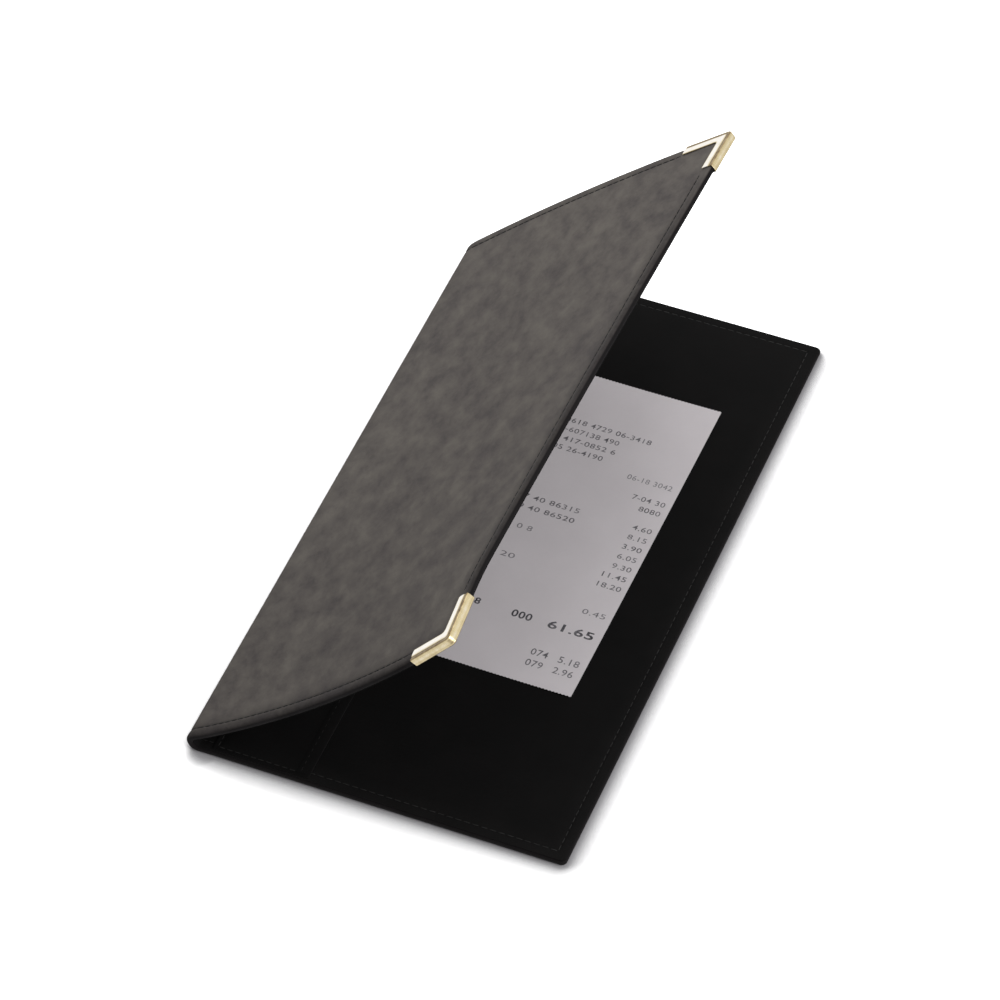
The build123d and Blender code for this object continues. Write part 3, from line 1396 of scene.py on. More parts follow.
        def end_run(y: float, place: float, lift: float) -> Vector:
            """Place on the run along one end edge."""
            return at(self.start + place, y, lift)

        for y in (inset, height - inset):
            run = partial(end_run, y)
            self.seam.sew(sketch, run, end_clear - self.start)
        side_length = height - 2 * side_clear
        self.seam.sew(sketch, lambda place, lift: at(turn_t, side_clear + place, lift), side_length)
        return sketch.build(finish)


@dataclass(frozen=True)
class Bend:
    """A strip of the wrap between a cover and the middle of the spine.

    Attributes:
        name: The piece's name.
        folder: The folded sheet.
        half: Which fold it lies on.
        face: Level of the seen face.
        back: Level of the hidden face.
        plate: The plate that it continues, for its rows, rolled edges and seam.
        steps: From the cover to the spine's middle.
    """

    name: str
    folder: Folder
    half: Half
    face: Level
    back: Level
    plate: Plate
    steps: int = 18

    def shares(self) -> list[float]:
        """Places from the cover to the spine's middle, with a thin strip at both ends."""
        inner = spread(0.0, 1.0, 1 / self.steps)
        return [0.0, 0.006, *inner, 0.994, 1.0]

    def _section(self, share: float, y: float) -> tuple[Vector, Vector]:
        """The seen and the hidden face at one place."""
        at = partial(self.folder.rail, self.half, share=share, y=y)
        return at(level=self.face), at(level=self.back)

    def _add(self, sketch: Sketch, share: float, y: float, inset: float, depth: float) -> int:
        """Adds a point at an inset from the end of the strip and a depth share below its face.

        Args:
            sketch: The mesh that takes it.
            share: From the cover to the spine's middle.
            y: Tells which end is meant.
            inset: From that end.
            depth: As a share of the thickness.

        Returns:
            The point's number.
        """
        height = self.folder.spine.height
        near_end = y < height / 2
        along = self.plate.margin + inset
        y_flat = along if near_end else height - along
        face, back = self._section(share, y_flat)
        place = face.lerp(back, depth)
        place.y = self.folder.drawn(y_flat, share) - height / 2
        thickness = (back - face).length
        grain = Vector((self.folder.wrap(self.half, share), y_flat, -depth * thickness))
        if depth < 0.5:
            lift = ripple(grain) * ease(inset / RIPPLE_FADE) if self.plate.rippled else 0.0
            place += (face - back).normalized() * lift
        wear = rim_wear_and_shade(inset, depth, y_flat / height) + self._rubbed(share)
        return sketch.point(place, grain, min(1.0, wear))

    def _rubbed(self, share: float) -> float:
        """Wear on the outside of the fold."""
        return 0.12 * ease(share * 1.6) if self.face is Level.OUTSIDE else 0.0

    def build(self, finish: Finish) -> Object:
        """Makes the strip as one closed solid.

        Args:
            finish: What it is made of.

        Returns:
            The piece, which follows no body yet.
        """
        sketch = Sketch(self.name)
        height = self.folder.spine.height
        edge = self.plate.edge_rows()
        middle_rows = spread(edge[-1], height - 2 * self.plate.margin - edge[-1], self.plate.step)
        places = [(row, True) for row in edge]
        places += [(row, None) for row in middle_rows]
        places += [(row, False) for row in reversed(edge)]

        def spot(row: float, near: bool | None) -> tuple[float, float]:
            """y that tells the end apart, and the inset from that end.

            Args:
                row: Inset of a row.
                near: Its end, or None between the edges.

            Returns:
                Both.
            """
            if near is None:
                far = height - 2 * self.plate.margin - row
                return (0.0, row) if row < far else (height, far)
            return (0.0, row) if near else (height, row)

        spots = [spot(row, near) for row, near in places]
        full = abs(self.plate.face - self.plate.back)

        def seen_depth(share: float, inset: float) -> float:
            """Depth share of the seen face, from its rolled end and its seam.

            Args:
                share: From the cover to the spine's middle.
                inset: From the end.

            Returns:
                The share.
            """
            face, back = self._section(share, height / 2)
            thickness = (back - face).length
            scale = thickness / full
            depth = roll_drop(self.plate.face_roll * scale, inset)
            if self.plate.seam:
                depth += self.plate.seam.relief(inset + self.plate.margin)
            return depth / thickness

        shares = self.shares()
        seen = [
            [self._add(sketch, share, y, inset, seen_depth(share, inset)) for y, inset in spots]
            for share in shares
        ]
        hidden = [
            [self._add(sketch, share, y, self._back_inset(share, inset), 1.0) for y, inset in spots]
            for share in shares
        ]
        last = len(spots) - 1

        def rim(row: int, column: int) -> list[int]:
            """Points down a rolled end, and none along the joins with the neighbouring pieces.

            Args:
                row: Of the border place.
                column: Of the border place.

            Returns:
                The points' numbers.
            """
            if column not in (0, last):
                return []
            share = shares[row]
            y = spots[column][0]
            roll = self.plate.back_roll / full
            face_roll = self.plate.face_roll / full
            wall_end = 1 - roll
            rows = [(0.0, mix((face_roll, wall_end), 0.5)), (0.0, wall_end)]
            for turn in BACK_TURNS:
                sine, cosine = sine_cosine(turn)
                rows.append(((1 - cosine) * self._back_inset(share, 0.0), wall_end + roll * sine))
            return [self._add(sketch, share, y, inset, depth) for inset, depth in rows]

        sketch.closed(seen, hidden, rim)
        return sketch.build(finish)

    def _back_inset(self, share: float, inset: float) -> float:
        """Inset of a row on the hidden face, whose outermost row starts inside the rolled end.

        Args:
            share: From the cover to the spine's middle.
            inset: On the seen face.

        Returns:
            The inset.
        """
        face, back = self._section(share, self.folder.spine.height / 2)
        full = abs(self.plate.face - self.plate.back)
        start = self.plate.back_roll * (back - face).length / full
        span = max(self.plate.radius, start)
        return start + inset * (span - start) / span if inset < span else inset

    def sew(self, name: str, finish: Finish) -> Object:
        """Makes the few stitches that cross this strip at both ends.

        Args:
            name: Of the new piece.
            finish: The thread.

        Returns:
            The stitches as one piece.
        """
        sketch = Sketch(name)
        seam, height = self.plate.seam, self.folder.spine.height
        length = self.folder.bend_reach + self.folder.spine.reach / 2

        def run(y: float, place: float, lift: float) -> Vector:
            """Place above the seen face, at a distance from the cover's side.

            Args:
                y: From the near end.
                place: That distance.
                lift: Above the face.

            Returns:
                The place.
            """
            share = min(max(place / length, 0.0), 1.0)
            face, back = self._section(share, y)
            spot = face + (face - back).normalized() * lift
            spot.y = self.folder.drawn(y, share) - height / 2
            return spot

        for y in (seam.inset, height - seam.inset):
            seam.sew(sketch, partial(run, y), length)
        return sketch.build(finish)


# ---- sub-assemblies


@dataclass(frozen=True)
class Cover:
    """A cover: greyboard in leatherette, faced with lining and sewn round.

    Attributes:
        name: "back" or "front", which starts its pieces' names.
        body: The body that it rides on.
        panel: Its place.
        folder: The folded sheet.
        corner_radius: Of its free corners, in plan.
        pressed: Length that metal corners hold flat, or 0.
    """

    name: str
    body: str
    panel: Panel
    folder: Folder
    corner_radius: float
    pressed: float = 0.0
    edge_roll: float = 1.0 * MM
    back_roll: float = 0.6 * MM
    lining_margin: float = 0.6 * MM
    lining_roll: float = 0.16 * MM
    board_margin: float = 0.75 * MM
    board_roll: float = 0.12 * MM
    skin: float = 0.7 * MM
    board: float = 0.8 * MM

    def _plate(self, kind: str, **sizes: Any) -> Plate:
        """A sheet of this cover, with its name's ending and with whatever sizes differ."""
        shared = {"start": self.folder.bend_reach, "corner_radius": self.corner_radius}
        return Plate(name=f"{self.name}_{kind}", panel=self.panel, **{**shared, **sizes})

    def wrap_plate(self) -> Plate:
        """The leatherette with its turned edges.

        Returns:
            The sheet, still to be built.
        """
        return self._plate(
            "leatherette",
            margin=0.0,
            face=self.folder.cover_levels[Level.OUTSIDE],
            back=self.folder.cover_levels[Level.CORE],
            face_roll=self.edge_roll,
            back_roll=self.back_roll,
            seam=Seam(),
            pressed=self.pressed,
        )

    def lining_plate(self) -> Plate:
        """The sheet that faces the inside.

        Returns:
            The sheet, still to be built.
        """
        return self._plate(
            "lining_sheet",
            margin=self.lining_margin,
            face=self.folder.cover_levels[Level.LINING],
            back=self.folder.cover_levels[Level.CORE],
            face_roll=self.lining_roll,
            back_roll=self.lining_roll / 2,
            seam=Seam(channel=0.14 * MM, puff=0.0, thread=0.15 * MM),
            pressed=self.pressed,
        )

    def board_plate(self) -> Plate:
        """The stiffening board inside.

        Returns:
            The board, still to be built.
        """
        top = self.folder.cover_levels[Level.OUTSIDE] - self.skin
        return self._plate(
            "greyboard",
            start=self.folder.bend_reach + 0.2 * MM,
            margin=self.board_margin,
            face=top,
            back=top - self.board,
            face_roll=self.board_roll,
            back_roll=self.board_roll,
            rippled=False,
            step=9.0 * MM,
        )

    def build(self) -> None:
        """Makes and dresses every piece of the cover."""
        wrap, lining, board = self.wrap_plate(), self.lining_plate(), self.board_plate()
        leather = wrap.build(LEATHERETTE)
        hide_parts(f"{self.name}_skin")
        sheet = lining.build(LINING)
        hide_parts(f"{self.name}_lining")
        stiffener = board.build(BOARD)
        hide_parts(f"{self.name}_board")
        outer_thread = wrap.sew(f"{self.name}_outer_stitches", THREAD)
        inner_thread = lining.sew(f"{self.name}_inner_stitches", THREAD)
        slots = ("leatherette", "lining", "board", "leatherette", "lining")
        for piece, slot in zip((leather, sheet, stiffener, outer_thread, inner_thread), slots):
            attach(piece, self.body)


@dataclass(frozen=True)
class Spine:
    """The soft strip between the covers: leatherette and lining, split at its middle."""

    folder: Folder
    back: Cover
    front: Cover

    def build(self) -> None:
        """Makes both halves of the wrap and of the lining, with the stitches across them."""
        for half, cover in ((Half.LOWER, self.back), (Half.UPPER, self.front)):
            wrap, lining = [
                Bend(f"spine_{kind}_{half.value}", self.folder, half, face, Level.CORE, plate)
                for kind, face, plate in (
                    ("leatherette", Level.OUTSIDE, cover.wrap_plate()),
                    ("lining", Level.LINING, cover.lining_plate()),
                )
            ]
            leather, sheet = wrap.build(LEATHERETTE), lining.build(LINING)
            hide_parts("spine_skin")
            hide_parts("spine_lining")
            threads = (
                wrap.sew(f"spine_outer_stitches_{half.value}", THREAD),
                lining.sew(f"spine_inner_stitches_{half.value}", THREAD),
            )
            for piece, slot in zip((leather, sheet, *threads), ("leatherette", "lining") * 2):
                self.folder.bend(piece, half)


class Mouth(Enum):
    """The open side of a pocket."""

    FREE_EDGE = "free edge"
    FAR_END = "far end"


@dataclass(frozen=True)
class Pocket:
    """A sheet of lining sewn down on three sides, with a hemmed mouth.

    Attributes:
        name: The piece's name.
        node: The solid that it stands for.
        body: The body that it rides on.
        panel: The cover that it lies on.
        base: Depth of the lining under it.
        t_span: From the fold line.
        y_span: From the near end.
        mouth: Its open side.
        notch_radius: Of the thumb notch, or 0.
        notch_rise: Of the notch's centre beyond the mouth.
        room: How far its middle stands off the lining.
        hem_fold: How much the hem thickens it, over a width of hem_edge.
        hem_stitch: The hem's stitches, from its inner edge.
        lip: Width of the rubbed strip along the mouth.

    SEAM_ROWS and HEM_ROWS are rows beside the stitches and the hem's edge, in millimetres. HEM_END
    is the last row before the mouth, and NOTCH_GAP is free of stitches on both sides of the notch.
    """

    name: str
    node: str
    body: str
    panel: Panel
    base: float
    t_span: tuple[float, float]
    y_span: tuple[float, float]
    mouth: Mouth
    notch_radius: float = 0.0
    notch_rise: float = 0.0
    sheet: float = 0.4 * MM
    room: float = 0.3 * MM
    margin: float = 3.0 * MM
    hem: float = 5.0 * MM
    hem_fold: float = 0.12 * MM
    hem_edge: float = 0.5 * MM
    hem_stitch: float = 1.6 * MM
    lip: float = 1.2 * MM
    stitch_inset: float = 1.5 * MM
    channel: float = 0.12 * MM
    channel_width: float = 0.35 * MM
    step: float = 2.5 * MM

    SEAM_ROWS = (-0.8, -0.35, 0.0, 0.35, 0.8, 1.7, 2.6)
    HEM_ROWS = (-0.1, 0.15, 0.3, 0.6)
    HEM_END = 0.8 * MM
    NOTCH_GAP = 1.5 * MM

    def _spans(self) -> tuple[tuple[float, float], tuple[float, float]]:
        """The span from the closed side to the mouth, and the span across."""
        spans = self.t_span, self.y_span
        return spans if self.mouth is Mouth.FREE_EDGE else spans[::-1]

    def _inside(self, up: float, across: float) -> float:
        """How far a place is from the nearest of the three closed sides."""
        (low, _), (left, right) = self._spans()
        return min(up - low, across - left, right - across)

    @property
    def notch_half(self) -> float:
        """Half the notch's width at the mouth."""
        return sqrt(self.notch_radius**2 - self.notch_rise**2)

    def _cut(self, across: float) -> float:
        """How deep the thumb notch cuts below the mouth, 0 beside it."""
        square = self.notch_radius**2 - (across - sum(self._spans()[1]) / 2) ** 2
        return max(0.0, sqrt(max(0.0, square)) - self.notch_rise)

    def _lift(self, up: float, across: float) -> float:
        """Height of the sheet's underside over the lining."""
        share = (self._inside(up, across) / self.margin - 0.6) / 0.8
        return self.room * ease(share)

    def _place(self, up: float, across: float, rise: float) -> Vector:
        """Row-frame place at a height above the lining."""
        t, y = (up, across) if self.mouth is Mouth.FREE_EDGE else (across, up)
        return self.panel.point(t, self.base - rise, y)

    def build(self, finish: Finish) -> None:
        """Makes the pocket and its stitches.

        Args:
            finish: What it is made of.
        """
        (low, high), (left, right) = self._spans()
        ups = self._rows(low, high)
        acrosses = self._columns(left, right)
        sketch = Sketch(self.name)

        def add(up: float, across: float, top: bool) -> int:
            """Adds a point of the upper or the lower face.

            Args:
                up: Towards the mouth, if there were no notch.
                across: Along the mouth.
                top: Whether it is on the upper face.

            Returns:
                The point's number.
            """
            scaled = low + (up - low) * (high - self._cut(across) - low) / (high - low)
            rise = self._lift(scaled, across)
            hem = ease((up - (high - self.hem)) / self.hem_edge)
            if top:
                rise += self.sheet + self.hem_fold * hem - self._channel(up, across)
            grain = Vector((scaled, across, rise))
            wear = 0.8 * ease((up - high + self.lip) / self.lip) if top else 0.0
            return sketch.point(self._place(scaled, across, rise), grain, wear)

        seen = [[add(up, across, True) for across in acrosses] for up in ups]
        under = [[add(up, across, False) for across in acrosses] for up in ups]
        sketch.closed(seen, under, None)
        piece = sketch.build(finish)
        soften(piece, 0.12 * MM)
        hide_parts(self.node)
        thread = self._sew()
        for made in (piece, thread):
            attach(made, self.body)

    def _rows(self, low: float, high: float) -> list[float]:
        """Rows from the closed side to the mouth, close at the seam and the hem.

        Args:
            low: The closed side.
            high: The mouth.

        Returns:
            The rows in order.
        """
        seam = [low + self.stitch_inset + row * MM for row in self.SEAM_ROWS]
        fold = [high - self.hem + row * MM for row in self.HEM_ROWS]
        return [low, *seam, *spread(seam[-1], fold[0], self.step), *fold, high - self.HEM_END, high]

    def _columns(self, left: float, right: float) -> list[float]:
        """Columns across, close at both sewn sides and round the notch.

        Args:
            left: One sewn side.
            right: The other.

        Returns:
            The columns in order.
        """
        seam = [self.stitch_inset + row * MM for row in self.SEAM_ROWS]
        near = [left, *(left + inset for inset in seam)]
        far = [*(right - inset for inset in reversed(seam)), right]
        if not self.notch_radius:
            return [*near, *spread(near[-1], far[0], self.step), *far]
        middle = (left + right) / 2
        turns = [radians(turn) for turn in range(-90, 91, 6)]
        notch = [middle + self.notch_half * sin(turn) for turn in turns]
        before = spread(near[-1], notch[0], self.step)
        return [*near, *before, *notch, *spread(notch[-1], far[0], self.step), *far]

    def _channel(self, up: float, across: float) -> float:
        """Depth of the pressed channel under the stitches on the closed sides."""
        widths = (self._inside(up, across) - self.stitch_inset) / self.channel_width
        return self.channel * exp(-(widths**2))

    def _sew(self) -> Object:
        """Makes the stitches along the closed sides and the hem.

        Returns:
            The stitches as one piece.
        """
        (low, high), (left, right) = self._spans()
        sketch = Sketch(f"{self.name}_stitches")
        seam = Seam(pitch=2.8 * MM, stitch=2.5 * MM, thread=0.14 * MM)
        inset = self.stitch_inset
        hem_line = high - self.hem + self.hem_stitch

        def up_run(across: float, place: float, lift: float) -> Vector:
            """Place on a run from the closed side to the mouth."""
            up = low + inset + place
            return self._place(up, across, self._lift(up, across) + self.sheet + lift)

        def cross_run(up: float, start: float, place: float, lift: float) -> Vector:
            """Place on a run across the pocket.

            Args:
                up: Of the run.
                start: Where it starts.
                place: Along it.
                lift: Above the sheet.

            Returns:
                The place.
            """
            across = start + place
            hemmed = self.hem_fold if up > high - self.hem else 0.0
            return self._place(up, across, self._lift(up, across) + self.sheet + hemmed + lift)

        for across in (left + inset, right - inset):
            seam.sew(sketch, partial(up_run, across), high - self.hem - low - inset)
        seam.sew(sketch, partial(cross_run, low + inset, left + inset), right - left - 2 * inset)
        for start, end in self._hem_runs(left + inset, right - inset):
            seam.sew(sketch, partial(cross_run, hem_line, start), end - start)
        return sketch.build(THREAD)

    def _hem_runs(self, left: float, right: float) -> Iterable[tuple[float, float]]:
        """Stretches of the hem's stitch line, which stops beside the notch.

        Args:
            left: Where the line starts.
            right: Where it ends.

        Returns:
            Both ends of each stretch.
        """
        if not self.notch_radius:
            return [(left, right)]
        middle = (left + right) / 2
        gap = self.notch_half + self.NOTCH_GAP
        return [(left, middle - gap), (middle + gap, right)]


@dataclass(frozen=True)
class MetalCorner:
    """Gilt metal pressed over a free corner of the front cover, L-shaped on both faces.

    Attributes:
        name: The piece's name.
        node: The solid that it stands for.
        folder: The folded sheet.
        y_edge: y of the cover's end edge here.
        inwards: 1 or -1, the sign of y from that edge onto the cover.
        leg: Length along the end edge.
        free_leg: Length along the free edge.
        fit: Gap between the metal and the cover.
        bend: Outer radius of the bends between the wall and the flanges.
        throat: Radius of the L's inner corner.
        crease_share: The crease's place, as a share of the flange's width.

    LEAST_BEND is the inner radius of a bend. ACROSS holds places on a flange as shares of its
    width, and WALL places on the outer wall as shares of its height, with the tone value at each:
    golder where the plating is worn, which also paints the wall's dimmer reflection.
    """

    name: str
    node: str
    folder: Folder
    y_edge: float
    inwards: int
    leg: float = 20.8 * MM
    free_leg: float = 19.0 * MM
    flange: float = 4.2 * MM
    sheet: float = 0.35 * MM
    fit: float = 0.08 * MM
    bend: float = 0.55 * MM
    cover_corner: float = 1.2 * MM
    throat: float = 1.5 * MM
    dome: float = 0.1 * MM
    crease: float = 0.1 * MM
    crease_width: float = 0.6 * MM
    crease_share: float = 0.84
    corner_steps: int = 18
    station_step: float = 1.6 * MM

    LEAST_BEND = 0.2 * MM
    ACROSS = (0.0, 0.04, 0.12, 0.24, 0.38, 0.52, 0.62, 0.68, 0.72)
    WALL = ((0.9, 0.5), (0.7, 0.4), (0.45, 0.36), (0.15, 0.55))

    def _seat(self) -> Matrix:
        """Places the flat channel on the warped cover's own corner.

        Returns:
            The channel's own axes in the part's frame.
        """
        front = self.folder.front
        reach = front.reach
        tip = front.point(reach, 0, self.y_edge)
        leg_end = front.point(reach - self.leg, 0, self.y_edge)
        middle = front.point(reach - self.leg / 2, 0, self.y_edge)
        half_bow = (middle - (tip + leg_end) / 2) / 2
        end_edge = (tip - leg_end).normalized()
        along = front.point(reach, 0, self.y_edge + self.inwards * self.leg) - tip
        out = end_edge.cross(along * self.inwards).normalized()
        free_edge = out.cross(end_edge)
        seat = Matrix((end_edge, free_edge, out)).transposed().to_4x4()
        return Matrix.Translation(tip + half_bow) @ seat

    def _stations(self, inset: float) -> list[Station]:
        """Outer point, outward direction and inner point of the L, from one leg's end to the other.

        The cover's corner is at the origin, its end edge along -X and its free edge along +Y.

        Args:
            inset: 0 for the outer face of the metal, its thickness for the inner.

        Returns:
            The stations.
        """
        wall = self.sheet + self.fit - inset
        radius = self.cover_corner + wall
        turn_start = self.flange + self.throat
        down, right = Vector((0, -1, 0)), Vector((1, 0, 0))

        def straight(length: float) -> list[Station]:
            """Stations of the leg along the end edge, if it had this length."""
            places = [length, *spread(length, turn_start, self.station_step), turn_start]
            return [(Vector((-x, -wall, 0)), down, Vector((-x, self.flange, 0))) for x in places]

        corner = []
        run = turn_start + wall - radius
        arc = radius * pi / 2
        total = 2 * run + arc
        for step in range(1, self.corner_steps):
            share = step / self.corner_steps
            angle = pi / 2 * share
            inner = Vector((
                -turn_start + self.throat * sin(angle),
                turn_start - self.throat * cos(angle),
                0,
            ))
            distance = total * share
            if distance < run:
                outer, out = Vector((-turn_start + distance, -wall, 0)), down
            elif distance > total - run:
                outer, out = Vector((wall, turn_start - (total - distance), 0)), right
            else:
                turn = (distance - run) / radius
                out = Vector((sin(turn), -cos(turn), 0))
                outer = Vector((wall - radius, radius - wall, 0)) + out * radius
            corner.append((outer, out, inner))
        mirrored = [
            (Vector((-o.y, -o.x, 0)), Vector((-d.y, -d.x, 0)), Vector((-i.y, -i.x, 0)))
            for o, d, i in reversed(straight(self.free_leg))
        ]
        return [*straight(self.leg), *corner, *mirrored]

    def _section(self, station: Station, inset: float) -> list[tuple[Vector, float]]:
        """Points across the channel at a station, with the tone value at each: tarnish and painted
        shade.

        Args:
            station: One of them.
            inset: The same as for it.

        Returns:
            Each point and its tone value.
        """
        outer, out, inner = station
        levels = self.folder.cover_levels
        wall = self.sheet + self.fit - inset
        top = levels[Level.OUTSIDE] + wall
        bottom = levels[Level.LINING] - wall
        bend = max(self.bend - inset, self.LEAST_BEND)
        across = [*self.ACROSS, *(self.crease_share + step * 0.04 for step in range(-2, 4))]
        half = []
        root = outer - out * bend
        width = (root - inner).length
        for share in across:
            # The crease: a pressed groove tinted with tarnish, which also paints the dark
            # reflection along the fold.
            crease = exp(-(((share - self.crease_share) * width / self.crease_width) ** 2))
            rise = self.dome * sin(pi * min(1.0, share / self.crease_share))
            rise = (rise - self.crease * crease) * (1 if inset == 0 else 0.3)
            # Painted contact shadow: a dark line along the flange's inner edge, where it meets the
            # leatherette.
            rim = 1 - ease(share / 0.1)
            # Painted shade: darkening from the crease to the bend.
            crease_shade = 0.8 * ease((share - self.crease_share) / 0.08)
            half.append((inner.lerp(root, share), rise, max(0.7 * rim, crease_shade, crease)))
        for turn in ROLL_TURNS:
            sine, cosine = sine_cosine(turn)
            # Painted shade: the bend's upper part is darkened so that it shows no highlight of the
            # key light.
            edge_toned = 0.9 - 0.45 * ease((turn - 40) / 50)
            half.append((root + out * bend * sine, -bend * (1 - cosine), edge_toned))
        upper = [(at + Vector((0, 0, top + rise)), wear) for at, rise, wear in half]
        lower = [(at + Vector((0, 0, bottom - rise)), wear) for at, rise, wear in reversed(half)]
        height = top - bottom - 2 * bend
        # Painted shade: the wall darkens where it turns round the corner, dimming the side light's
        # highlight there.
        corner_shade = 0.6 * abs(out.x * out.y)
        wall = [
            (outer + Vector((0, 0, bottom + bend + height * share)), wear + corner_shade)
            for share, wear in self.WALL
        ]
        return [*upper, *wall, *lower]

    def build(self, finish: Finish) -> None:
        """Makes the channel as one closed shell on the front cover.

        Args:
            finish: What it is made of.
        """
        seat = self._seat()
        sketch = Sketch(self.name)
        shells = []
        for inset in (0.0, self.sheet):
            rows = []
            for station in self._stations(inset):
                row = []
                for place, wear in self._section(station, inset):
                    local = Vector((place.x, place.y * self.inwards, place.z))
                    row.append(sketch.point(seat @ local, place, wear))
                rows.append(row)
            shells.append(rows)
        sketch.closed(shells[0], shells[1], None)
        piece = sketch.build(finish)
        soften(piece, 0.07 * MM)
        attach(piece, "front_cover")
        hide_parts(self.node)


class Weight(Enum):
    """How heavily a line is printed: how far each stroke is thickened, and how faded the ink is."""

    LIGHT = (0.0, 0.45)
    PLAIN = (0.006, 0.2)
    BOLD = (0.022, 0.0)


@dataclass(frozen=True)
class PrintLine:
    """One printed group of figures, in millimetres on the slip.

    Attributes:
        text: Generic figures.
        left: Where it starts, from the slip's left edge.
        right: Where it ends.
        base: Its baseline, from the slip's near edge.
        height: Of its figures.
        weight: Of its strokes.
    """

    text: str
    left: float
    right: float
    base: float
    height: float = 2.3
    weight: Weight = Weight.PLAIN


@dataclass(frozen=True)
class GuestCheck:
    """A slip of till paper with generic figures, its left margin tucked into the side pocket.

    Attributes:
        folder: The folded sheet.
        from_spine: Left edge, from the outside of the spine.
        from_end: Near edge, from the near end.
        rest_gap: Under the paper, where it lies flat.
        curl_start: Share of the width from which the paper lifts.
        curl: How far it lifts at most.
        askew: Degrees that it is turned by.
        tooth: Width of one tooth of the blade that cut it.
        tooth_depth: Of the teeth.
        ink_lift: Of the print above the paper.
    """

    folder: Folder
    width: float = 80.0 * MM
    length: float = 141.0 * MM
    paper: float = 0.1 * MM
    from_spine: float = 29.0 * MM
    from_end: float = 66.0 * MM
    rest_gap: float = 0.05 * MM
    curl_start: float = 0.45
    curl: float = 0.55 * MM
    askew: float = -0.7
    tooth: float = 1.25 * MM
    tooth_depth: float = 0.3 * MM
    ink_lift: float = 0.012 * MM

    def _rise(self, across: float, up: float) -> float:
        """How far the paper lifts off the lining, at shares of its width and length.

        Args:
            across: From the left edge.
            up: From the near edge.

        Returns:
            The height.
        """
        side = max(0.0, (across - self.curl_start) / (1 - self.curl_start))
        ends = abs(2 * up - 1)
        wave = 0.5 + 0.5 * sin(7.0 * up + 0.6)
        return self.curl * side**2 * (0.25 + 0.55 * ends**3 + 0.12 * wave + 0.25 * up)

    def _place(self, across: float, up: float, height: float, ragged: bool = False) -> Vector:
        """Row-frame place on the paper, with a height above its underside.

        Args:
            across: Share of the width.
            up: Share of the length.
            height: That height.
            ragged: Whether the ends show the blade's teeth.

        Returns:
            The place.
        """
        back = self.folder.back
        t = self.from_spine - self.folder.cover_levels[Level.OUTSIDE]
        y = self.from_end + up * self.length
        if ragged and up in (0.0, 1.0):
            phase = across * self.width / self.tooth
            bite = self.tooth_depth * abs(2 * (phase - floor(phase)) - 1)
            y += bite if up == 0.0 else -bite
        n = self.folder.cover_levels[Level.LINING] - self.rest_gap - self._rise(across, up) - height
        turn = radians(self.askew)
        from_middle = (across - 0.5) * self.width, y - self.from_end - self.length / 2
        t += self.width / 2 + from_middle[0] * cos(turn) - from_middle[1] * sin(turn)
        y += from_middle[0] * sin(turn) - from_middle[1] * (1 - cos(turn))
        return back.point(t, n, y)

    def _paper(self) -> Object:
        """The slip itself, cut off the roll against a toothed blade.

        Returns:
            The slip.
        """
        sketch = Sketch("check_slip")
        teeth = round(self.width / self.tooth) * 2
        acrosses = [index / teeth for index in range(teeth + 1)]
        ups = [0.0, 0.006, *spread(0.006, 0.994, 1 / 48), 0.994, 1.0]

        def add(across: float, up: float, top: bool) -> int:
            """Adds a point of either face."""
            place = self._place(across, up, self.paper if top else 0.0, ragged=True)
            return sketch.point(place, Vector((place.x, place.y, 0.0)))

        seen = [[add(across, up, True) for across in acrosses] for up in ups]
        under = [[add(across, up, False) for across in acrosses] for up in ups]
        sketch.closed(seen, under, None)
        return sketch.build(PAPER)

    @staticmethod
    def _lines() -> list[PrintLine]:
        """Generic figures in the places of a till's header, items, total and tax.

        Returns:
            The groups of figures.
        """
        prices = ("4.60", "8.15", "3.90", "6.05", "9.30", "11.45", "18.20")
        right, first_base, line_pitch, figure_pitch = 77.9, 78.0, 4.75, 1.75
        lines = [
            PrintLine("480 53-0618 4729 06-3418", 17.5, 62.5, 116.8),
            PrintLine("20-607138 490", 27.9, 52.1, 112.4),
            PrintLine("30 417-0852 6", 27.5, 52.5, 107.9),
            PrintLine("05 26-4190", 30.6, 49.4, 103.5),
            PrintLine("06-18 3042", 60.5, 77.2, 99.3, weight=Weight.LIGHT),
            PrintLine("7-04 30", 65.6, 77.7, 91.2),
            PrintLine("8080", 69.7, 77.6, 86.7),
            PrintLine("208 2 17 40 86315", 16.0, 51.2, 77.6),
            PrintLine("214 2 19 40 86520", 16.0, 51.2, 72.8),
            PrintLine("0 8", 33.6, 39.2, 63.8, weight=Weight.LIGHT),
            PrintLine("20", 33.2, 38.4, 50.0, weight=Weight.LIGHT),
            PrintLine("0.45", 69.2, 77.6, 36.0, weight=Weight.LIGHT),
            PrintLine("08", 31.0, 35.5, 26.4, 2.9, Weight.BOLD),
            PrintLine("000", 47.2, 54.6, 25.9, 3.3, Weight.BOLD),
            PrintLine("61.65", 60.6, 77.2, 25.7, 3.5, Weight.BOLD),
            PrintLine("074", 59.9, 66.0, 12.6, 2.9),
            PrintLine("5.18", 69.9, 77.4, 12.6, 2.9),
            PrintLine("079", 59.9, 66.0, 7.6, 2.9),
            PrintLine("2.96", 69.9, 77.0, 7.6, 2.9),
        ]
        for index, price in enumerate(prices):
            left = right - figure_pitch * len(price)
            lines.append(PrintLine(price, left, right, first_base - line_pitch * index))
        return lines

    def _print(self) -> Object:
        """Every printed line, laid on the curled paper as one piece.

        Returns:
            The print.
        """
        sketch = Sketch("check_print")
        for line in self._lines():
            self._stamp(sketch, line)
        return sketch.build(INK)

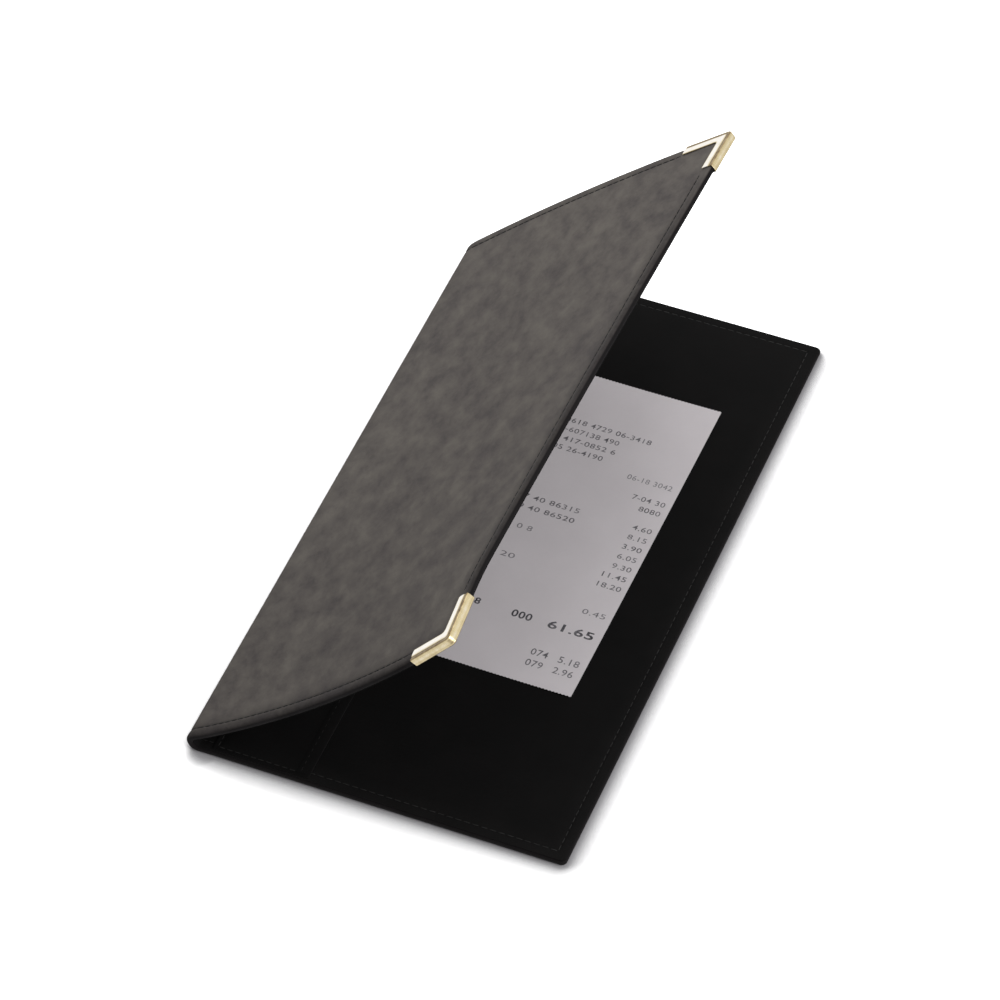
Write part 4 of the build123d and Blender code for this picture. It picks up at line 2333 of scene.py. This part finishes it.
    def _stamp(self, sketch: Sketch, line: PrintLine) -> None:
        """Adds one group of figures to the mesh of the print.

        Args:
            sketch: That mesh.
            line: The group.
        """
        curve = bpy.data.curves.new("figures", "FONT")
        curve.body = line.text
        curve.offset, faded = line.weight.value
        curve.space_character = 1.08
        curve.resolution_u = 3
        holder = new_object("figures", curve)
        bpy.context.view_layer.update()
        solid = holder.evaluated_get(bpy.context.evaluated_depsgraph_get())
        flat = bpy.data.meshes.new_from_object(solid)
        columns = [vertex.co.x for vertex in flat.vertices]
        rows = [vertex.co.y for vertex in flat.vertices]
        wide = (line.right - line.left) / (max(columns) - min(columns))
        tall = line.height / (max(rows) - min(rows))
        numbers = []
        for vertex in flat.vertices:
            across = (line.left + (vertex.co.x - min(columns)) * wide) * MM / self.width
            up = (line.base + (vertex.co.y - min(rows)) * tall) * MM / self.length
            place = self._place(across, up, self.paper + self.ink_lift)
            numbers.append(sketch.point(place, Vector((place.x, place.y, 0.0)), faded))
        for polygon in flat.polygons:
            sketch.faces.append(tuple(numbers[corner] for corner in polygon.vertices))
        bpy.data.objects.remove(holder)
        bpy.data.curves.remove(curve)
        bpy.data.meshes.remove(flat)

    def build(self) -> None:
        """Makes the slip and its print."""
        slip, figures = self._paper(), self._print()
        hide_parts("guest_check")
        for piece in (slip, figures):
            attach(piece, "guest_check")


# ---- studio


@dataclass(frozen=True)
class SoftLight:
    """A square soft box.

    Attributes:
        name: The lamp's name.
        azimuth: Of its place, from +X towards +Y.
        elevation: Of its place above the floor.
        level: Brightness that it alone gives a white surface facing it.
    """

    name: str
    azimuth: float
    elevation: float
    level: float
    size: float = 0.9
    distance: float = 1.6

    def build(self, aim: Vector) -> None:
        """Hangs the lamp and points it at the aim.

        Args:
            aim: The place that it lights.
        """
        turn, rise = radians(self.azimuth), radians(self.elevation)
        away = Vector((cos(turn) * cos(rise), sin(turn) * cos(rise), sin(rise)))
        lamp = bpy.data.lights.new(self.name, "AREA")
        lamp.size = self.size
        lamp.energy = self.level * (pi * self.distance) ** 2
        holder = new_object(self.name, lamp)
        holder.location = aim + away * self.distance
        holder.rotation_euler = away.to_track_quat("Z", "Y").to_euler()


@dataclass(frozen=True)
class Viewpoint:
    """The camera: where it looks from, and the lens that frames the part."""

    azimuth: float = 22.436
    elevation: float = 48.02
    roll: float = -0.562
    target: Vector = Vector((-14.185 * MM, 16.604 * MM, 0.0))
    distance: float = 1700.317 * MM
    lens: float = 176.007
    sensor: float = 36.0

    def build(self) -> None:
        """Makes the scene's camera."""
        turn, rise, roll = (radians(v) for v in (self.azimuth, self.elevation, self.roll))
        back = Vector((sin(turn) * cos(rise), -cos(turn) * cos(rise), sin(rise)))
        level = Vector((cos(turn), sin(turn), 0.0))
        upright = back.cross(level)
        right = level * cos(roll) + upright * sin(roll)
        up = upright * cos(roll) - level * sin(roll)
        camera = bpy.data.cameras.new("camera")
        camera.sensor_width = self.sensor
        camera.lens = self.lens
        camera.clip_end = 20.0
        holder = new_object("camera", camera)
        axes = Matrix((right, up, back)).transposed().to_4x4()
        holder.matrix_world = Matrix.Translation(self.target + back * self.distance) @ axes
        bpy.context.scene.camera = holder


@dataclass(frozen=True)
class Studio:
    """Pale floor, soft light and camera."""

    floor_size: float = 8.0
    floor_drop: float = 0.05 * MM
    fill_level: float = 0.35
    aim: Vector = Vector((0.0, 0.0, 0.03))
    lights: tuple[SoftLight, ...] = (
        SoftLight("key_light", 120.0, 54.0, 0.45, size=0.52, distance=0.6),
        SoftLight("side_light", -14.0, 36.0, 0.66, size=0.9, distance=1.3),
    )

    def _world(self) -> None:
        """White background where it is seen, and an even fill elsewhere."""
        world = bpy.data.worlds.new("studio")
        world.use_nodes = True
        bpy.context.scene.world = world
        graph = Graph(world.node_tree)
        seen = ray_kind(graph, "Is Camera Ray", "Is Glossy Ray", "Is Transmission Ray")
        strength = seen * (1 - self.fill_level) + self.fill_level
        white = {"Color": (1.0, 1.0, 1.0, 1.0), "Strength": strength}
        background = graph.node("ShaderNodeBackground", inputs=white)
        graph.node("ShaderNodeOutputWorld", inputs={"Surface": background})

    def _floor(self) -> None:
        """A wide floor just under the part."""
        sketch = Sketch("floor")
        half = self.floor_size / 2
        corners = [(-half, -half), (half, -half), (half, half), (-half, half)]
        drop = -self.floor_drop
        ring = [sketch.point(Vector((x, y, drop)), Vector((x, y, 0))) for x, y in corners]
        sketch.faces.append(tuple(ring))
        sketch.build(StudioFloor("studio_floor"))

    def build(self) -> None:
        """Sets up everything that isn't the part."""
        self._world()
        self._floor()
        for light in self.lights:
            light.build(self.aim)
        Viewpoint().build()
        bpy.context.scene.view_settings.view_transform = "Standard"


# ---- main


def main() -> None:
    """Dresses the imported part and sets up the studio."""
    logging.basicConfig(level=logging.INFO, format="%(name)s %(message)s")
    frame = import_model()
    folder = Folder.from_frame(frame)
    back = Cover("back", "back_cover", folder.back, folder, corner_radius=2.0 * MM)
    front = Cover(
        "front",
        "front_cover",
        folder.front,
        folder,
        corner_radius=MetalCorner.cover_corner,
        pressed=MetalCorner.leg,
    )
    for part in (back, front, Spine(folder, back, front)):
        part.build()
    lining = folder.cover_levels[Level.LINING]
    height = folder.spine.height
    metal_clear = 5.08 * MM  # from the cover's edges, past the metal corner
    card_height, fold_clear, sewn_inset = 76.0 * MM, 8.0 * MM, 1.2 * MM
    pockets = (
        Pocket(
            "side_pocket",
            "check_pocket",
            "back_cover",
            folder.back,
            lining,
            t_span=(folder.bend_reach + 0.4 * MM, 40.0 * MM),
            y_span=(sewn_inset, height - sewn_inset),
            mouth=Mouth.FREE_EDGE,
        ),
        Pocket(
            "low_pocket",
            "card_pocket",
            "front_cover",
            folder.front,
            lining,
            t_span=(fold_clear, folder.front.reach - metal_clear),
            y_span=(metal_clear, metal_clear + card_height),
            mouth=Mouth.FAR_END,
            notch_radius=13.0 * MM,
            notch_rise=6.0 * MM,
        ),
    )
    for pocket in pockets:
        pocket.build(LINING)
    MetalCorner("gilt_corner_near", "corner_near", folder, 0.0, 1).build(GILT)
    MetalCorner("gilt_corner_far", "corner_far", folder, height, -1).build(GILT)
    GuestCheck(folder).build()
    Studio().build()


if __name__ == "__main__":
    main()
